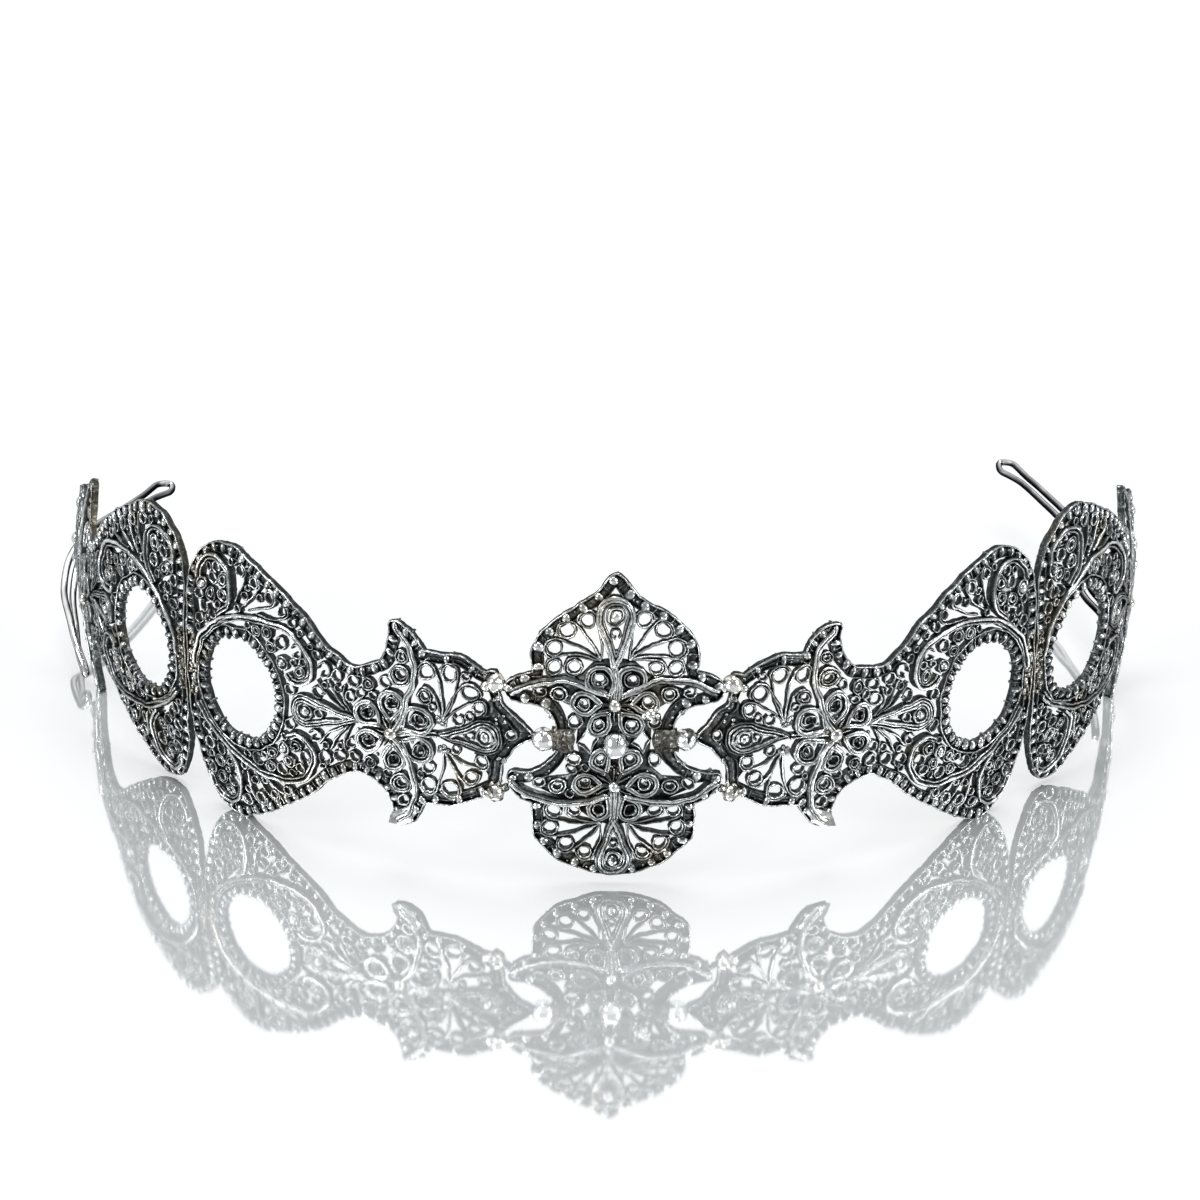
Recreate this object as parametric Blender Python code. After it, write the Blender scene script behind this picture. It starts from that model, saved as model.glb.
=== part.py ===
"""Filigree tiara of oxidised silver.

Five pierced panels stand edge to edge in one curved band, and a closed hairpin of round wire
runs back from each outer panel. Each panel is drawn flat, as an outline with piercings and raised
wires, and is then laid on the band's surface.
"""

import math
from bisect import bisect_left

import bmesh
import bpy
from mathutils import Vector
from mathutils.geometry import delaunay_2d_cdt

MM = 0.001

# Sizes of the band, seen from above as half of an ellipse with its front at the middle
BAND_HALF_WIDTH = 75.0 * MM
BAND_DEPTH = 70.1 * MM
SET_BACK = 0.092
LEAN_IN = 0.0114
CURL_RADIUS = 114.68 * MM

# Sizes of the panels
CENTRE_HEIGHT = 38.4 * MM
WING_LENGTH = 48.1 * MM
JOINT_GAP = 0.3 * MM
BACK_DEPTH = 0.50 * MM
LATTICE_LIFT = 0.25 * MM
RIM_LIFT = 0.70 * MM
WIRE_LIFT = 0.85 * MM
FOOT_SHIFT = 2.6 * MM
FAN_DROOP = 3.4 * MM
HORN_LEAN = 1.3 * MM

# Sizes of the wire arms behind
LEFT_ARM_LENGTH = 49.2 * MM
RIGHT_ARM_LENGTH = 57.0 * MM
WIRE_RADIUS = 0.5 * MM
STRAND_SPACING = 1.4 * MM
LOOP_WIDTH = 2.6 * MM
LOOP_LENGTH = 4.0 * MM

# The patterns and the arms' routes are drawn in squares of about a millimetre: each one's own size
# says how large its squares are. These are the sizes in squares.
CENTRE_SQUARES = 38.4
WING_SQUARES = 48.1
LEFT_ARM_SQUARES = 49.2
RIGHT_ARM_SQUARES = 57.0
WING_TIP = 9.4
WING_SEAM = WING_TIP + WING_SQUARES
WING_BELOW = 18.6
CENTRE_BALL_EDGE = 9.2
HORN_BELOW = 12.9

# Widths in the patterns, in squares
RIM_WIDTH = 1.45
WIRE_HALF_WIDTH = 0.42
RIB_HALF_WIDTH = 0.28
HOLE_RADIUS = 0.85
CENTRE_FAN_START = 2.8
CENTRE_FAN_REACH = 7.6
WING_FAN_START = 2.4
WING_FAN_REACH = 7.1
OUTLINE_STEP = 4.0
RIM_SPACING = 1.7

CENTRE_SQUARE = CENTRE_HEIGHT / CENTRE_SQUARES
WING_SQUARE = WING_LENGTH / WING_SQUARES
MID_HEIGHT = WING_BELOW * WING_SQUARE
FOOT_DROOP = MID_HEIGHT - HORN_BELOW * WING_SQUARE
WING_START = CENTRE_BALL_EDGE * CENTRE_SQUARE + JOINT_GAP


# Curves in a flat pattern

def smooth(points, step=OUTLINE_STEP):
    """Points on a smooth curve through the given ones, no further apart than the step."""
    ends = [Vector(p) for p in points]
    first = ends[0] * 2 - ends[1]
    last = ends[-1] * 2 - ends[-2]
    padded = [first] + ends + [last]
    result = []
    for a, b, c, d in zip(padded, padded[1:], padded[2:], padded[3:]):
        pieces = max(1, math.ceil((c - b).length / step))
        for i in range(pieces):
            t = i / pieces
            pull = (c - a) * t
            bend = (a * 2 - b * 5 + c * 4 - d) * t ** 2
            turn = (b * 3 - a - c * 3 + d) * t ** 3
            result.append(b + (pull + bend + turn) / 2)
    result.append(ends[-1])
    return result


def runs(*parts):
    """One closed outline of smooth runs that meet at corners."""
    outline = []
    for part in parts:
        outline += smooth(part)[:-1]
    return outline


def arc(centre, radius, start, end, count, stretch=1.0):
    """Points on an arc, with angles in degrees and the height stretched."""
    middle = Vector(centre)
    points = []
    for i in range(count):
        angle = math.radians(start + (end - start) * i / (count - 1))
        points.append(middle + Vector((math.cos(angle), math.sin(angle) * stretch)) * radius)
    return points


def circle(centre, radius, count, stretch=1.0, turn=0.0):
    """A closed ring of points."""
    return arc(centre, radius, turn, turn + 360, count + 1, stretch)[:-1]


def teardrop(point, centre, radius, sides=5):
    """A closed loop from a sharp point round a circle about the centre."""
    sharp = Vector(point)
    middle = Vector(centre)
    heading = middle - sharp
    facing = math.degrees(math.atan2(heading.y, heading.x))
    return [sharp] + arc(middle, radius, facing - 105, facing + 105, sides)


def flip(points):
    """The same points mirrored top to bottom."""
    return [Vector((p[0], -p[1])) for p in points]


def distance_to_chain(point, chain, closed):
    """How far a point lies from a chain of straight edges."""
    nearest = 1e9
    pairs = list(zip(chain, chain[1:] + chain[:1]))
    if not closed:
        pairs = pairs[:-1]
    for a, b in pairs:
        along = b - a
        share = (point - a).dot(along) / max(along.length_squared, 1e-12)
        share = min(1.0, max(0.0, share))
        nearest = min(nearest, (a + along * share - point).length)
    return nearest


def inside(point, loop):
    """Whether a point lies inside a closed loop."""
    odd = False
    for a, b in zip(loop, loop[1:] + loop[:1]):
        if (a.y > point.y) != (b.y > point.y):
            if point.x < a.x + (b.x - a.x) * (point.y - a.y) / (b.y - a.y):
                odd = not odd
    return odd


def inset(loop, distance, spacing):
    """A loop inside an outline, at a distance from it, without the places that are too narrow
    for it, such as a horn."""
    moved = []
    for before, here, after in zip(loop[-1:] + loop[:-1], loop, loop[1:] + loop[:1]):
        into = (here - before).normalized()
        out_of = (after - here).normalized()
        normal = Vector((-into.y - out_of.y, into.x + out_of.x))
        if normal.length < 0.3:
            continue
        normal.normalize()
        mitre = 1 / max(0.5, normal.dot(Vector((-into.y, into.x))))
        spot = here + normal * mitre * distance
        if distance_to_chain(spot, loop, True) < distance * 0.97:
            continue
        if moved and (spot - moved[-1]).length < spacing:
            continue
        moved.append(spot)
    return moved


class Pattern:
    """A flat drawing: an outline, its piercings, and lines at their own lift."""

    def __init__(self, outline, square):
        self.outline = outline
        self.square = square
        self.holes = []
        self.chains = [(outline, True, RIM_LIFT)]

    def line(self, points, closed, lift):
        """Draw a line that the surface follows at this lift."""
        self.chains.append((points, closed, lift))

    def pierce(self, loop, lift=LATTICE_LIFT):
        """Cut a hole whose edge has this lift."""
        self.holes.append(loop)
        self.line(loop, True, lift)

    def rim(self):
        """Let the plate rise to a bevelled rim along the outline."""
        self.line(inset(self.outline, RIM_WIDTH, RIM_SPACING), True, LATTICE_LIFT)

    def ball(self, centre, radius):
        """Raise a round granule."""
        foot = circle(centre, radius, 5)
        shoulder = circle(centre, radius * 0.75, 4)
        self.line(foot, True, LATTICE_LIFT)
        self.line(shoulder, True, LATTICE_LIFT + radius * self.square * 1.2)

    def wire(self, points):
        """Raise a wire along an open curve."""
        crest = smooth(points)
        left = []
        right = []
        for before, here, after in zip(crest[:1] + crest[:-1], crest, crest[1:] + crest[-1:]):
            along = (after - before).normalized()
            across = Vector((-along.y, along.x)) * WIRE_HALF_WIDTH
            left.append(here + across)
            right.append(here - across)
        self.line(crest, False, WIRE_LIFT)
        self.line(left + right[::-1], True, LATTICE_LIFT)

    def petal(self, centre, radius):
        """Raise a ring of wire round a small hole."""
        self.line(circle(centre, radius, 5), True, LATTICE_LIFT)
        self.line(circle(centre, radius - WIRE_HALF_WIDTH, 5), True, WIRE_LIFT)
        self.pierce(circle(centre, radius * 0.38, 4))

    def drop(self, point, centre, radius, ball_radius):
        """Raise a teardrop of wire with a granule in its round end."""
        heading = (Vector(centre) - Vector(point)).normalized()
        crest_point = Vector(point) + heading * WIRE_HALF_WIDTH * 3
        inner_point = Vector(point) + heading * WIRE_HALF_WIDTH * 6.5
        self.line(teardrop(point, centre, radius), True, LATTICE_LIFT)
        self.line(teardrop(crest_point, centre, radius - WIRE_HALF_WIDTH), True, WIRE_LIFT)
        self.line(teardrop(inner_point, centre, radius - 2 * WIRE_HALF_WIDTH), True, LATTICE_LIFT)
        self.ball(centre, ball_radius)

    def rosette(self, centre, reach, radius, ball_radius, turn=30):
        """Raise six petals round a granule."""
        for spot in circle(centre, reach, 6, turn=turn):
            self.petal(spot, radius)
        self.ball(centre, ball_radius)

    def fan(self, centre, start, end, rays, near, far):
        """Pierce a fan: a slot with a pointed end between each two rays."""
        middle = Vector(centre)
        turn = (end - start) / rays
        shoulder = far - 0.7
        half = shoulder * abs(math.radians(turn)) / 2 - RIB_HALF_WIDTH
        for i in range(rays):
            angle = math.radians(start + turn * (i + 0.5))
            ray = Vector((math.cos(angle), math.sin(angle)))
            across = Vector((-ray.y, ray.x))
            self.pierce([middle + ray * near,
                         middle + ray * shoulder - across * half,
                         middle + ray * far,
                         middle + ray * shoulder + across * half])

    def row(self, points, count, radius=HOLE_RADIUS):
        """Pierce holes evenly along a curve."""
        curve = smooth(points, 0.25)
        for i in range(count):
            self.pierce(circle(curve[round(i * (len(curve) - 1) / (count - 1))], radius, 4))


# The centre panel

CENTRE_TOP = [(0.0, 21.0), (1.1, 20.2), (2.6, 18.5), (5.1, 17.0), (8.0, 14.9), (9.6, 12.7),
              (10.0, 10.6), (9.8, 9.2)]
CENTRE_UPPER_ARM = [(9.8, 9.2), (11.2, 8.7), (12.6, 8.0)]
CENTRE_UPPER_TIP = [(12.6, 8.0), (13.1, 6.9), (12.6, 5.4)]
CENTRE_UPPER_EYE = [(12.6, 5.4), (10.8, 5.1), (8.6, 4.6), (7.2, 3.2), (6.9, 2.0)]
CENTRE_LOWER_EYE = [(6.9, -0.3), (7.3, -1.2), (8.6, -2.4), (10.3, -3.3), (12.6, -3.4)]
CENTRE_LOWER_TIP = [(12.6, -3.4), (12.9, -4.4), (12.4, -5.7)]
CENTRE_LOWER_ARM = [(12.4, -5.7), (11.4, -6.8), (9.9, -7.6)]
CENTRE_FOOT = [(9.9, -7.6), (10.0, -9.7), (9.4, -12.4), (7.2, -14.9), (3.7, -16.8), (0.0, -17.4)]
CENTRE_BALL = (8.1, 0.9)
CENTRE_BALL_RADIUS = 0.95
CENTRE_FAN_HUB = (0.2, 9.6)
CENTRE_FOOT_FAN_HUB = (0.2, -8.9)


def centre_pattern():
    """The middle panel: a pointed top, a round foot, and two arms on each side."""
    neck = arc(CENTRE_BALL, CENTRE_BALL_EDGE - CENTRE_BALL[0], 90, -90, 5)
    right = runs(CENTRE_TOP, CENTRE_UPPER_ARM, CENTRE_UPPER_TIP, CENTRE_UPPER_EYE)
    right += [Vector(CENTRE_UPPER_EYE[-1])] + neck
    right += runs(CENTRE_LOWER_EYE, CENTRE_LOWER_TIP, CENTRE_LOWER_ARM, CENTRE_FOOT)
    bottom = Vector(CENTRE_FOOT[-1])
    left = [Vector((-p.x, p.y)) for p in right[1:]]
    outline = [right[0]] + left + [bottom] + right[:0:-1]
    pattern = Pattern(outline, CENTRE_SQUARE)
    pattern.rim()
    pattern.drop((0.0, 9.9), (0.0, 15.9), 1.75, 0.75)
    pattern.drop((0.0, -9.3), (0.0, -15.0), 1.75, 0.75)
    pattern.rosette((0.0, 5.6), 3.4, 1.5, 0.75, turn=0)
    pattern.rosette((0.0, -4.8), 3.4, 1.5, 0.75, turn=0)
    pattern.ball((0.0, 0.5), 1.35)
    for side in (1, -1):
        pattern.ball((side * CENTRE_BALL[0], CENTRE_BALL[1]), CENTRE_BALL_RADIUS)
        pattern.wire([(side * x, z) for x, z in ((3.9, 8.4), (6.4, 8.5), (8.8, 7.9), (11.3, 6.8))])
        pattern.wire([(side * x, z) for x, z in ((4.1, -7.4), (6.6, -7.3), (9.0, -6.5), (11.2, -5.2))])
        pattern.pierce(circle((side * 3.1, 0.6), 0.9, 4))
        pattern.row([(side * 6.0, 6.8), (side * 8.2, 6.4)], 2)
        pattern.row([(side * 5.9, -5.2), (side * 8.1, -5.0)], 2)
        facing = 0 if side > 0 else 180
        for hub, tip in ((CENTRE_FAN_HUB, 1), (CENTRE_FOOT_FAN_HUB, -1)):
            pattern.fan((side * hub[0], hub[1]), facing + side * tip * 3, facing + side * tip * 63, 4,
                        CENTRE_FAN_START, CENTRE_FAN_REACH)
    return pattern


# The wing panel, drawn for the right side with its tip towards the centre panel

WING_UPPER_EYE = [(WING_TIP, 1.3), (10.6, 2.7), (11.7, 3.9), (12.9, 5.0)]
WING_UPPER_JOINT = [(12.9, 5.0), (13.4, 6.8), (13.4, 8.2), (14.2, 8.9), (15.1, 8.6)]
WING_UPPER_FAN = [(15.1, 8.6), (17.0, 9.8), (19.2, 10.4), (22.4, 10.2)]
WING_UPPER_HORN = [(22.4, 10.2), (23.3, 11.6), (24.4, 12.8), (25.8, 13.3), (27.6, 13.1)]
WING_UPPER_EDGE = [(27.6, 13.1), (27.2, 11.2), (28.0, 8.8), (29.9, 7.4), (32.2, 7.1), (34.9, 8.4),
                   (38.4, 11.5), (42.6, 14.3), (48.2, 16.9), (51.4, 17.4), (54.3, 16.3),
                   (56.6, 13.6), (57.5, 10.3), (WING_SEAM, 5.3)]
WING_LOWER_EDGE = [(WING_SEAM, -4.4), (57.1, -8.6), (56.2, -12.6), (54.6, -16.3), (51.8, -WING_BELOW),
                   (48.4, -18.2), (42.4, -14.7), (38.2, -11.7), (34.9, -8.7), (32.2, -7.1),
                   (29.9, -7.1), (27.9, -8.2), (27.0, -10.4), (27.6, -HORN_BELOW)]
WING_LOWER_HORN = [(27.6, -HORN_BELOW), (25.7, -12.8), (24.1, -12.1), (23.1, -10.6), (22.4, -9.3)]
WING_LOWER_FAN = [(22.4, -9.3), (19.2, -9.1), (16.9, -8.2), (14.8, -7.2)]
WING_LOWER_JOINT = [(14.8, -7.2), (13.9, -7.9), (13.2, -7.2), (13.3, -5.4), (13.0, -3.0)]
WING_LOWER_EYE = [(13.0, -3.0), (11.9, -1.3), (10.6, -0.1), (WING_TIP, 0.6)]
WING_ROSETTE = (26.7, -0.3)
EYE_CENTRE = (48.4, -0.3)
EYE_HALF_LENGTH = 5.7
EYE_STRETCH = 1.12
EYE_RIM = 1.4
WING_SCROLL = [(54.2, 6.9), (50.9, 8.5), (47.5, 9.5), (44.0, 9.9), (40.6, 9.3), (38.2, 7.4),
               (37.6, 5.2), (38.8, 3.6), (40.6, 3.6)]
LOBE_SCROLL = [(52.3, 9.3), (50.3, 11.4), (50.9, 14.0), (53.0, 14.2), (54.3, 12.2)]
LOBE_RIBS = [(43.0, 11.7), (45.7, 12.7), (48.2, 13.6)]
INNER_RING_ROW = [(40.2, 7.0), (42.2, 7.9), (44.4, 8.1)]
WAIST_ROW = [(29.6, 4.4), (31.6, 4.2), (33.8, 4.7), (35.6, 5.5)]
EYE_SIDE_ROW = [(34.0, 3.1), (36.2, 3.3)]


def wing_pattern():
    """A wing: a rounded fan, two horns, a waist, and a lobed end round an oval eye-hole."""
    outline = runs(WING_UPPER_EYE, WING_UPPER_JOINT, WING_UPPER_FAN, WING_UPPER_HORN,
                   WING_UPPER_EDGE, [WING_UPPER_EDGE[-1], WING_LOWER_EDGE[0]],
                   WING_LOWER_EDGE, WING_LOWER_HORN, WING_LOWER_FAN, WING_LOWER_JOINT,
                   WING_LOWER_EYE, [WING_LOWER_EYE[-1], WING_UPPER_EYE[0]])
    outline = outline[::-1]
    pattern = Pattern(outline, WING_SQUARE)
    pattern.rim()
    pattern.pierce(circle(EYE_CENTRE, EYE_HALF_LENGTH, 15, EYE_STRETCH), RIM_LIFT)
    pattern.line(circle(EYE_CENTRE, EYE_HALF_LENGTH + EYE_RIM, 14, EYE_STRETCH), True, LATTICE_LIFT)
    pattern.rosette(WING_ROSETTE, 3.4, 1.5, 0.75)
    pattern.drop((21.4, 0.0), (15.0, 0.5), 1.7, 0.7)
    pattern.drop((31.6, -0.2), (38.4, -0.3), 1.9, 0.75)
    pattern.wire(WING_SCROLL)
    pattern.wire(flip(WING_SCROLL))
    pattern.wire(LOBE_SCROLL)
    pattern.wire(flip(LOBE_SCROLL))
    for tip in (1, -1):
        pattern.ball((41.9, tip * 5.6), 0.75)
        pattern.ball((52.7, tip * 12.7), 0.65)
        pattern.pierce(circle((25.2, tip * 7.0), HOLE_RADIUS, 5))
        pattern.fan((21.4, tip * 0.9), tip * 99, tip * 159, 4, WING_FAN_START,
                    WING_FAN_REACH + tip * 0.3)
        for rows, count in ((LOBE_RIBS, 3), (INNER_RING_ROW, 3), (WAIST_ROW, 3), (EYE_SIDE_ROW, 2)):
            pattern.row([(x, tip * z) for x, z in rows], count)
        pattern.pierce(circle((39.7, tip * 5.3), HOLE_RADIUS * 0.9, 4))
        pattern.pierce(circle((52.3, tip * 11.4), HOLE_RADIUS * 0.9, 4))
    return pattern


# The band that the patterns are laid on

ARC_STEPS = 720
ARC_ANGLES = [math.radians(175) * i / ARC_STEPS for i in range(ARC_STEPS + 1)]


def plan(angle):
    """A point of the band's ellipse, seen from above."""
    return Vector((BAND_HALF_WIDTH * math.sin(angle), BAND_DEPTH * (1 - math.cos(angle))))


def arc_lengths():
    """How far along the band each of the angles lies."""
    lengths = [0.0]
    for a, b in zip(ARC_ANGLES, ARC_ANGLES[1:]):
        lengths.append(lengths[-1] + (plan(b) - plan(a)).length)
    return lengths


ARC_LENGTHS = arc_lengths()


def angle_at(distance):
    """The ellipse's angle at a distance along the band from its front."""
    i = min(max(bisect_left(ARC_LENGTHS, distance), 1), ARC_STEPS)
    share = (distance - ARC_LENGTHS[i - 1]) / (ARC_LENGTHS[i] - ARC_LENGTHS[i - 1])
    return ARC_ANGLES[i - 1] + share * (ARC_ANGLES[i] - ARC_ANGLES[i - 1])


def on_band(distance, height, lift):
    """The place of a flat point: its distance from the front, its height over the middle line
    and how far it stands out of the plate's middle."""
    side = -1 if distance < 0 else 1
    angle = angle_at(abs(distance))
    spot = plan(angle)
    out = Vector((BAND_DEPTH * math.sin(angle) * side, -BAND_HALF_WIDTH * math.cos(angle), 0.0))
    out.normalize()
    lean = LEAN_IN * height + height * height / (2 * CURL_RADIUS)
    slope = LEAN_IN + height / CURL_RADIUS
    upward = Vector((0.0, SET_BACK, 1.0)) - out * slope
    normal = (out - upward * (out.dot(upward) / upward.length_squared)).normalized()
    middle = Vector((spot.x * side, spot.y + SET_BACK * height, MID_HEIGHT + height))
    return middle - out * lean + normal * lift


def centre_place(point, lift):
    """Where a point of the centre pattern stands."""
    return on_band(point.x * CENTRE_SQUARE, point.y * CENTRE_SQUARE, lift)


def wing_distance(x):
    """How far along the band a wing pattern's point lies from the front."""
    return WING_START + (x - WING_TIP) * WING_SQUARE


def inner_place(side):
    """Where the points of an inner wing stand."""
    def place(point, lift):
        return on_band(side * wing_distance(point.x), point.y * WING_SQUARE, lift)
    return place


def ease(value):
    """A smooth step from 0 to 1."""
    share = min(1.0, max(0.0, value))
    return share * share * (3 - 2 * share)


SEAM_DISTANCE = wing_distance(WING_SEAM)
OUTER_END = 2 * SEAM_DISTANCE + JOINT_GAP - WING_START


def outer_place(side):
    """Where the points of an outer wing stand: turned about the seam, its fan end hanging lower,
    its upper horn leaning in, and its lower horn bent down to the floor as a foot."""
    def place(point, lift):
        distance = 2 * SEAM_DISTANCE + JOINT_GAP - wing_distance(point.x)
        height = point.y * WING_SQUARE
        fan = ease((38.0 - point.x) / 14.0)
        droop = fan * ease((13.0 - point.y) / 14.0) * FAN_DROOP
        horn = ease((-8.0 - point.y) / (HORN_BELOW - 8.0)) * ease((30.4 - point.x) / 2.4)
        horn *= ease((point.x - 20.0) / 3.0)
        droop += horn * (FOOT_DROOP - droop)
        distance += horn * FOOT_SHIFT
        lean = fan * ease(point.y / 12.0) * HORN_LEAN
        return on_band(side * distance, height - droop, lift - lean)
    return place


# From a flat pattern to a closed solid

def lift_between(spot, chains):
    """The lift of a point where two lines cross."""
    best = (1e9, LATTICE_LIFT)
    for points, closed, lift in chains:
        if len(points) > 1:
            best = min(best, (round(distance_to_chain(spot, points, closed), 4), -lift))
    return abs(best[1])


def kept_triangles(coords, faces, pattern):
    """The triangles that lie on the plate, not outside it or in a hole."""
    kept = []
    for face in faces:
        middle = sum((coords[i] for i in face), Vector((0.0, 0.0))) / 3
        if inside(middle, pattern.outline):
            if not any(inside(middle, hole) for hole in pattern.holes):
                kept.append(tuple(face))
    return kept


def triangulate(chains, pattern):
    """Triangles of the plate with every chain's edges in them, and each corner's lift."""
    coords = []
    edges = []
    lifts = []
    for points, closed, lift in chains:
        first = len(coords)
        coords += points
        lifts += [lift] * len(points)
        edges += [(first + i, first + i + 1) for i in range(len(points) - 1)]
        if closed:
            edges.append((first + len(points) - 1, first))
    found = delaunay_2d_cdt(coords, edges, [], 0, 1e-5)
    spots = found[0]
    faces = found[2]
    corner_lifts = []
    for spot, sources in zip(spots, found[3]):
        if sources:
            corner_lifts.append(max(lifts[i] for i in sources))
        else:
            corner_lifts.append(lift_between(spot, chains))
    return spots, kept_triangles(spots, faces, pattern), corner_lifts


def border_edges(triangles):
    """The edges that only one triangle has, in that triangle's direction."""
    used = {(t[i], t[(i + 1) % 3]) for t in triangles for i in range(3)}
    return [(a, b) for a, b in used if (b, a) not in used]


def panel_mesh(name, pattern, place, mirrored):
    """A closed mesh: the raised face, the plain back, and the walls of outline and holes."""
    spots, front, lifts = triangulate(pattern.chains, pattern)
    border = sorted(border_edges(front))
    corners = sorted({i for edge in border for i in edge})
    back_index = {corner: i for i, corner in enumerate(corners)}
    back_edges = [(back_index[a], back_index[b]) for a, b in border]
    back_spots = [spots[i] for i in corners]
    found = delaunay_2d_cdt(back_spots, back_edges, [], 0, 1e-5)
    back_names = [sources[0] for sources in found[3]]
    back = kept_triangles(found[0], found[2], pattern)
    mesh = bmesh.new()
    used = sorted({i for t in front for i in t})
    top = {i: mesh.verts.new(place(spots[i], lifts[i])) for i in used}
    under = [mesh.verts.new(place(spot, -BACK_DEPTH)) for spot in back_spots]
    for a, b, c in front:
        mesh.faces.new((top[a], top[b], top[c]))
    for t in back:
        a, b, c = (under[back_names[i]] for i in t)
        mesh.faces.new((a, c, b))
    for a, b in border:
        low_a = under[back_index[a]]
        low_b = under[back_index[b]]
        mesh.faces.new((top[b], top[a], low_a))
        mesh.faces.new((top[b], low_a, low_b))
    if mirrored:
        bmesh.ops.reverse_faces(mesh, faces=mesh.faces[:])
    data = bpy.data.meshes.new(name)
    mesh.to_mesh(data)
    mesh.free()
    return data


# The wire arms

LEFT_ARM = [(-12.2, 1.55, 7.4, 0), (-6.0, 1.7, 5.9, 30), (1.2, 2.6, 7.2, 60), (7.0, 2.2, 9.5, 70),
            (14.3, 0.6, 10.5, 70), (24.0, -1.0, 9.7, 70), (37.0, -0.6, 8.2, 70)]
RIGHT_ARM = [(-12.2, -1.75, 8.6, 0), (-5.2, -2.9, 7.6, 20), (2.8, -4.7, 7.0, 45),
             (10.6, -4.7, 8.7, 60), (18.3, -3.8, 10.3, 70), (30.0, -3.2, 10.3, 70),
             (44.8, -1.0, 9.9, 70)]
ARM_STEP = 8.5


def arm_route(side, route, square):
    """The arm's middle line, and the direction from one strand to the other. A route gives the
    distance from the band's outer end, the offset outwards, the height and the strands' turn."""
    smooth_route = smooth(route, ARM_STEP)
    places = []
    for along, outward, height, turn in smooth_route:
        angle = angle_at(OUTER_END + along * square)
        spot = plan(angle)
        out = Vector((BAND_DEPTH * math.sin(angle), -BAND_HALF_WIDTH * math.cos(angle)))
        out.normalize()
        spot += out * outward * square
        lean = math.radians(turn)
        across = Vector((side * out.x * math.sin(lean), out.y * math.sin(lean), math.cos(lean)))
        places.append((Vector((side * spot.x, spot.y, height * square)), across))
    return places


def arm_loop(side, route, square):
    """One closed wire: out along a strand, round the loop at the back, and in along the other."""
    places = arm_route(side, route, square)
    end = places[-1][0]
    one_way = []
    other_way = []
    for place, across in places[:-1]:
        share = ease(1 - (end - place).length / (2 * LOOP_LENGTH))
        half = (STRAND_SPACING + (LOOP_WIDTH - STRAND_SPACING) * share) / 2
        one_way.append(place + across * half)
        other_way.append(place - across * half)
    start_turn = places[0][0] - (places[1][0] - places[0][0]).normalized() * STRAND_SPACING / 2
    end_across = places[-1][1] * LOOP_WIDTH * 0.32
    back = (places[-1][0] - places[-2][0]).normalized() * LOOP_WIDTH * 0.2
    round_end = [end - back + end_across, end + back * 0.9, end - back - end_across]
    return [start_turn] + one_way + round_end + other_way[::-1]


def add_arm(name, side, route, square, material):
    """A closed wire as a curve with a round section."""
    curve = bpy.data.curves.new(name, "CURVE")
    curve.dimensions = "3D"
    curve.bevel_depth = WIRE_RADIUS
    curve.bevel_resolution = 1
    points = arm_loop(side, route, square)
    spline = curve.splines.new("POLY")
    spline.points.add(len(points) - 1)
    for point, spot in zip(spline.points, points):
        point.co = (*spot, 1.0)
    spline.use_cyclic_u = True
    curve.materials.append(material)
    add_object(name, curve)


# The scene

CENTRE_COLOUR = (0.30, 0.30, 0.31)
INNER_COLOUR = (0.27, 0.27, 0.28)
OUTER_COLOUR = (0.25, 0.25, 0.26)
WIRE_COLOUR = (0.62, 0.62, 0.63)


def silver(name, colour, roughness):
    """A silver material."""
    material = bpy.data.materials.new(name)
    material.use_nodes = True
    shader = material.node_tree.nodes["Principled BSDF"]
    shader.inputs["Base Color"].default_value = (*colour, 1.0)
    shader.inputs["Roughness"].default_value = roughness
    shader.inputs["Metallic"].default_value = 1.0
    return material


def add_object(name, data):
    """Put an object in the scene."""
    thing = bpy.data.objects.new(name, data)
    bpy.context.scene.collection.objects.link(thing)
    return thing


def add_panel(name, pattern, place, mirrored, colour):
    """A panel with its own oxidised silver."""
    data = panel_mesh(name, pattern, place, mirrored)
    data.materials.append(silver(name + "_silver", colour, 0.38))
    return add_object(name, data)


def world_corners(thing):
    """Every corner of an object's evaluated mesh."""
    graph = bpy.context.evaluated_depsgraph_get()
    evaluated = thing.evaluated_get(graph)
    return [evaluated.matrix_world @ v.co for v in evaluated.to_mesh().vertices]


def stand_on_origin():
    """Move every object so that the origin is on the floor under the tiara's middle."""
    things = list(bpy.context.scene.collection.objects)
    corners = [corner for thing in things for corner in world_corners(thing)]
    low = [min(corner[i] for corner in corners) for i in range(3)]
    high = [max(corner[i] for corner in corners) for i in range(3)]
    shift = Vector((-(low[0] + high[0]) / 2, -(low[1] + high[1]) / 2, -low[2]))
    for thing in things:
        thing.location = shift


def build():
    """Make the tiara."""
    for old in list(bpy.data.objects):
        bpy.data.objects.remove(old)
    centre = centre_pattern()
    wing = wing_pattern()
    add_panel("centre_panel", centre, centre_place, False, CENTRE_COLOUR)
    add_panel("inner_panel_right", wing, inner_place(1), False, INNER_COLOUR)
    add_panel("inner_panel_left", wing, inner_place(-1), True, INNER_COLOUR)
    add_panel("outer_panel_right", wing, outer_place(1), True, OUTER_COLOUR)
    add_panel("outer_panel_left", wing, outer_place(-1), False, OUTER_COLOUR)
    add_arm("end_wire_right", 1, RIGHT_ARM, RIGHT_ARM_LENGTH / RIGHT_ARM_SQUARES,
            silver("end_wire_right_silver", WIRE_COLOUR, 0.2))
    add_arm("end_wire_left", -1, LEFT_ARM, LEFT_ARM_LENGTH / LEFT_ARM_SQUARES,
            silver("end_wire_left_silver", WIRE_COLOUR, 0.2))
    stand_on_origin()


build()
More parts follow.
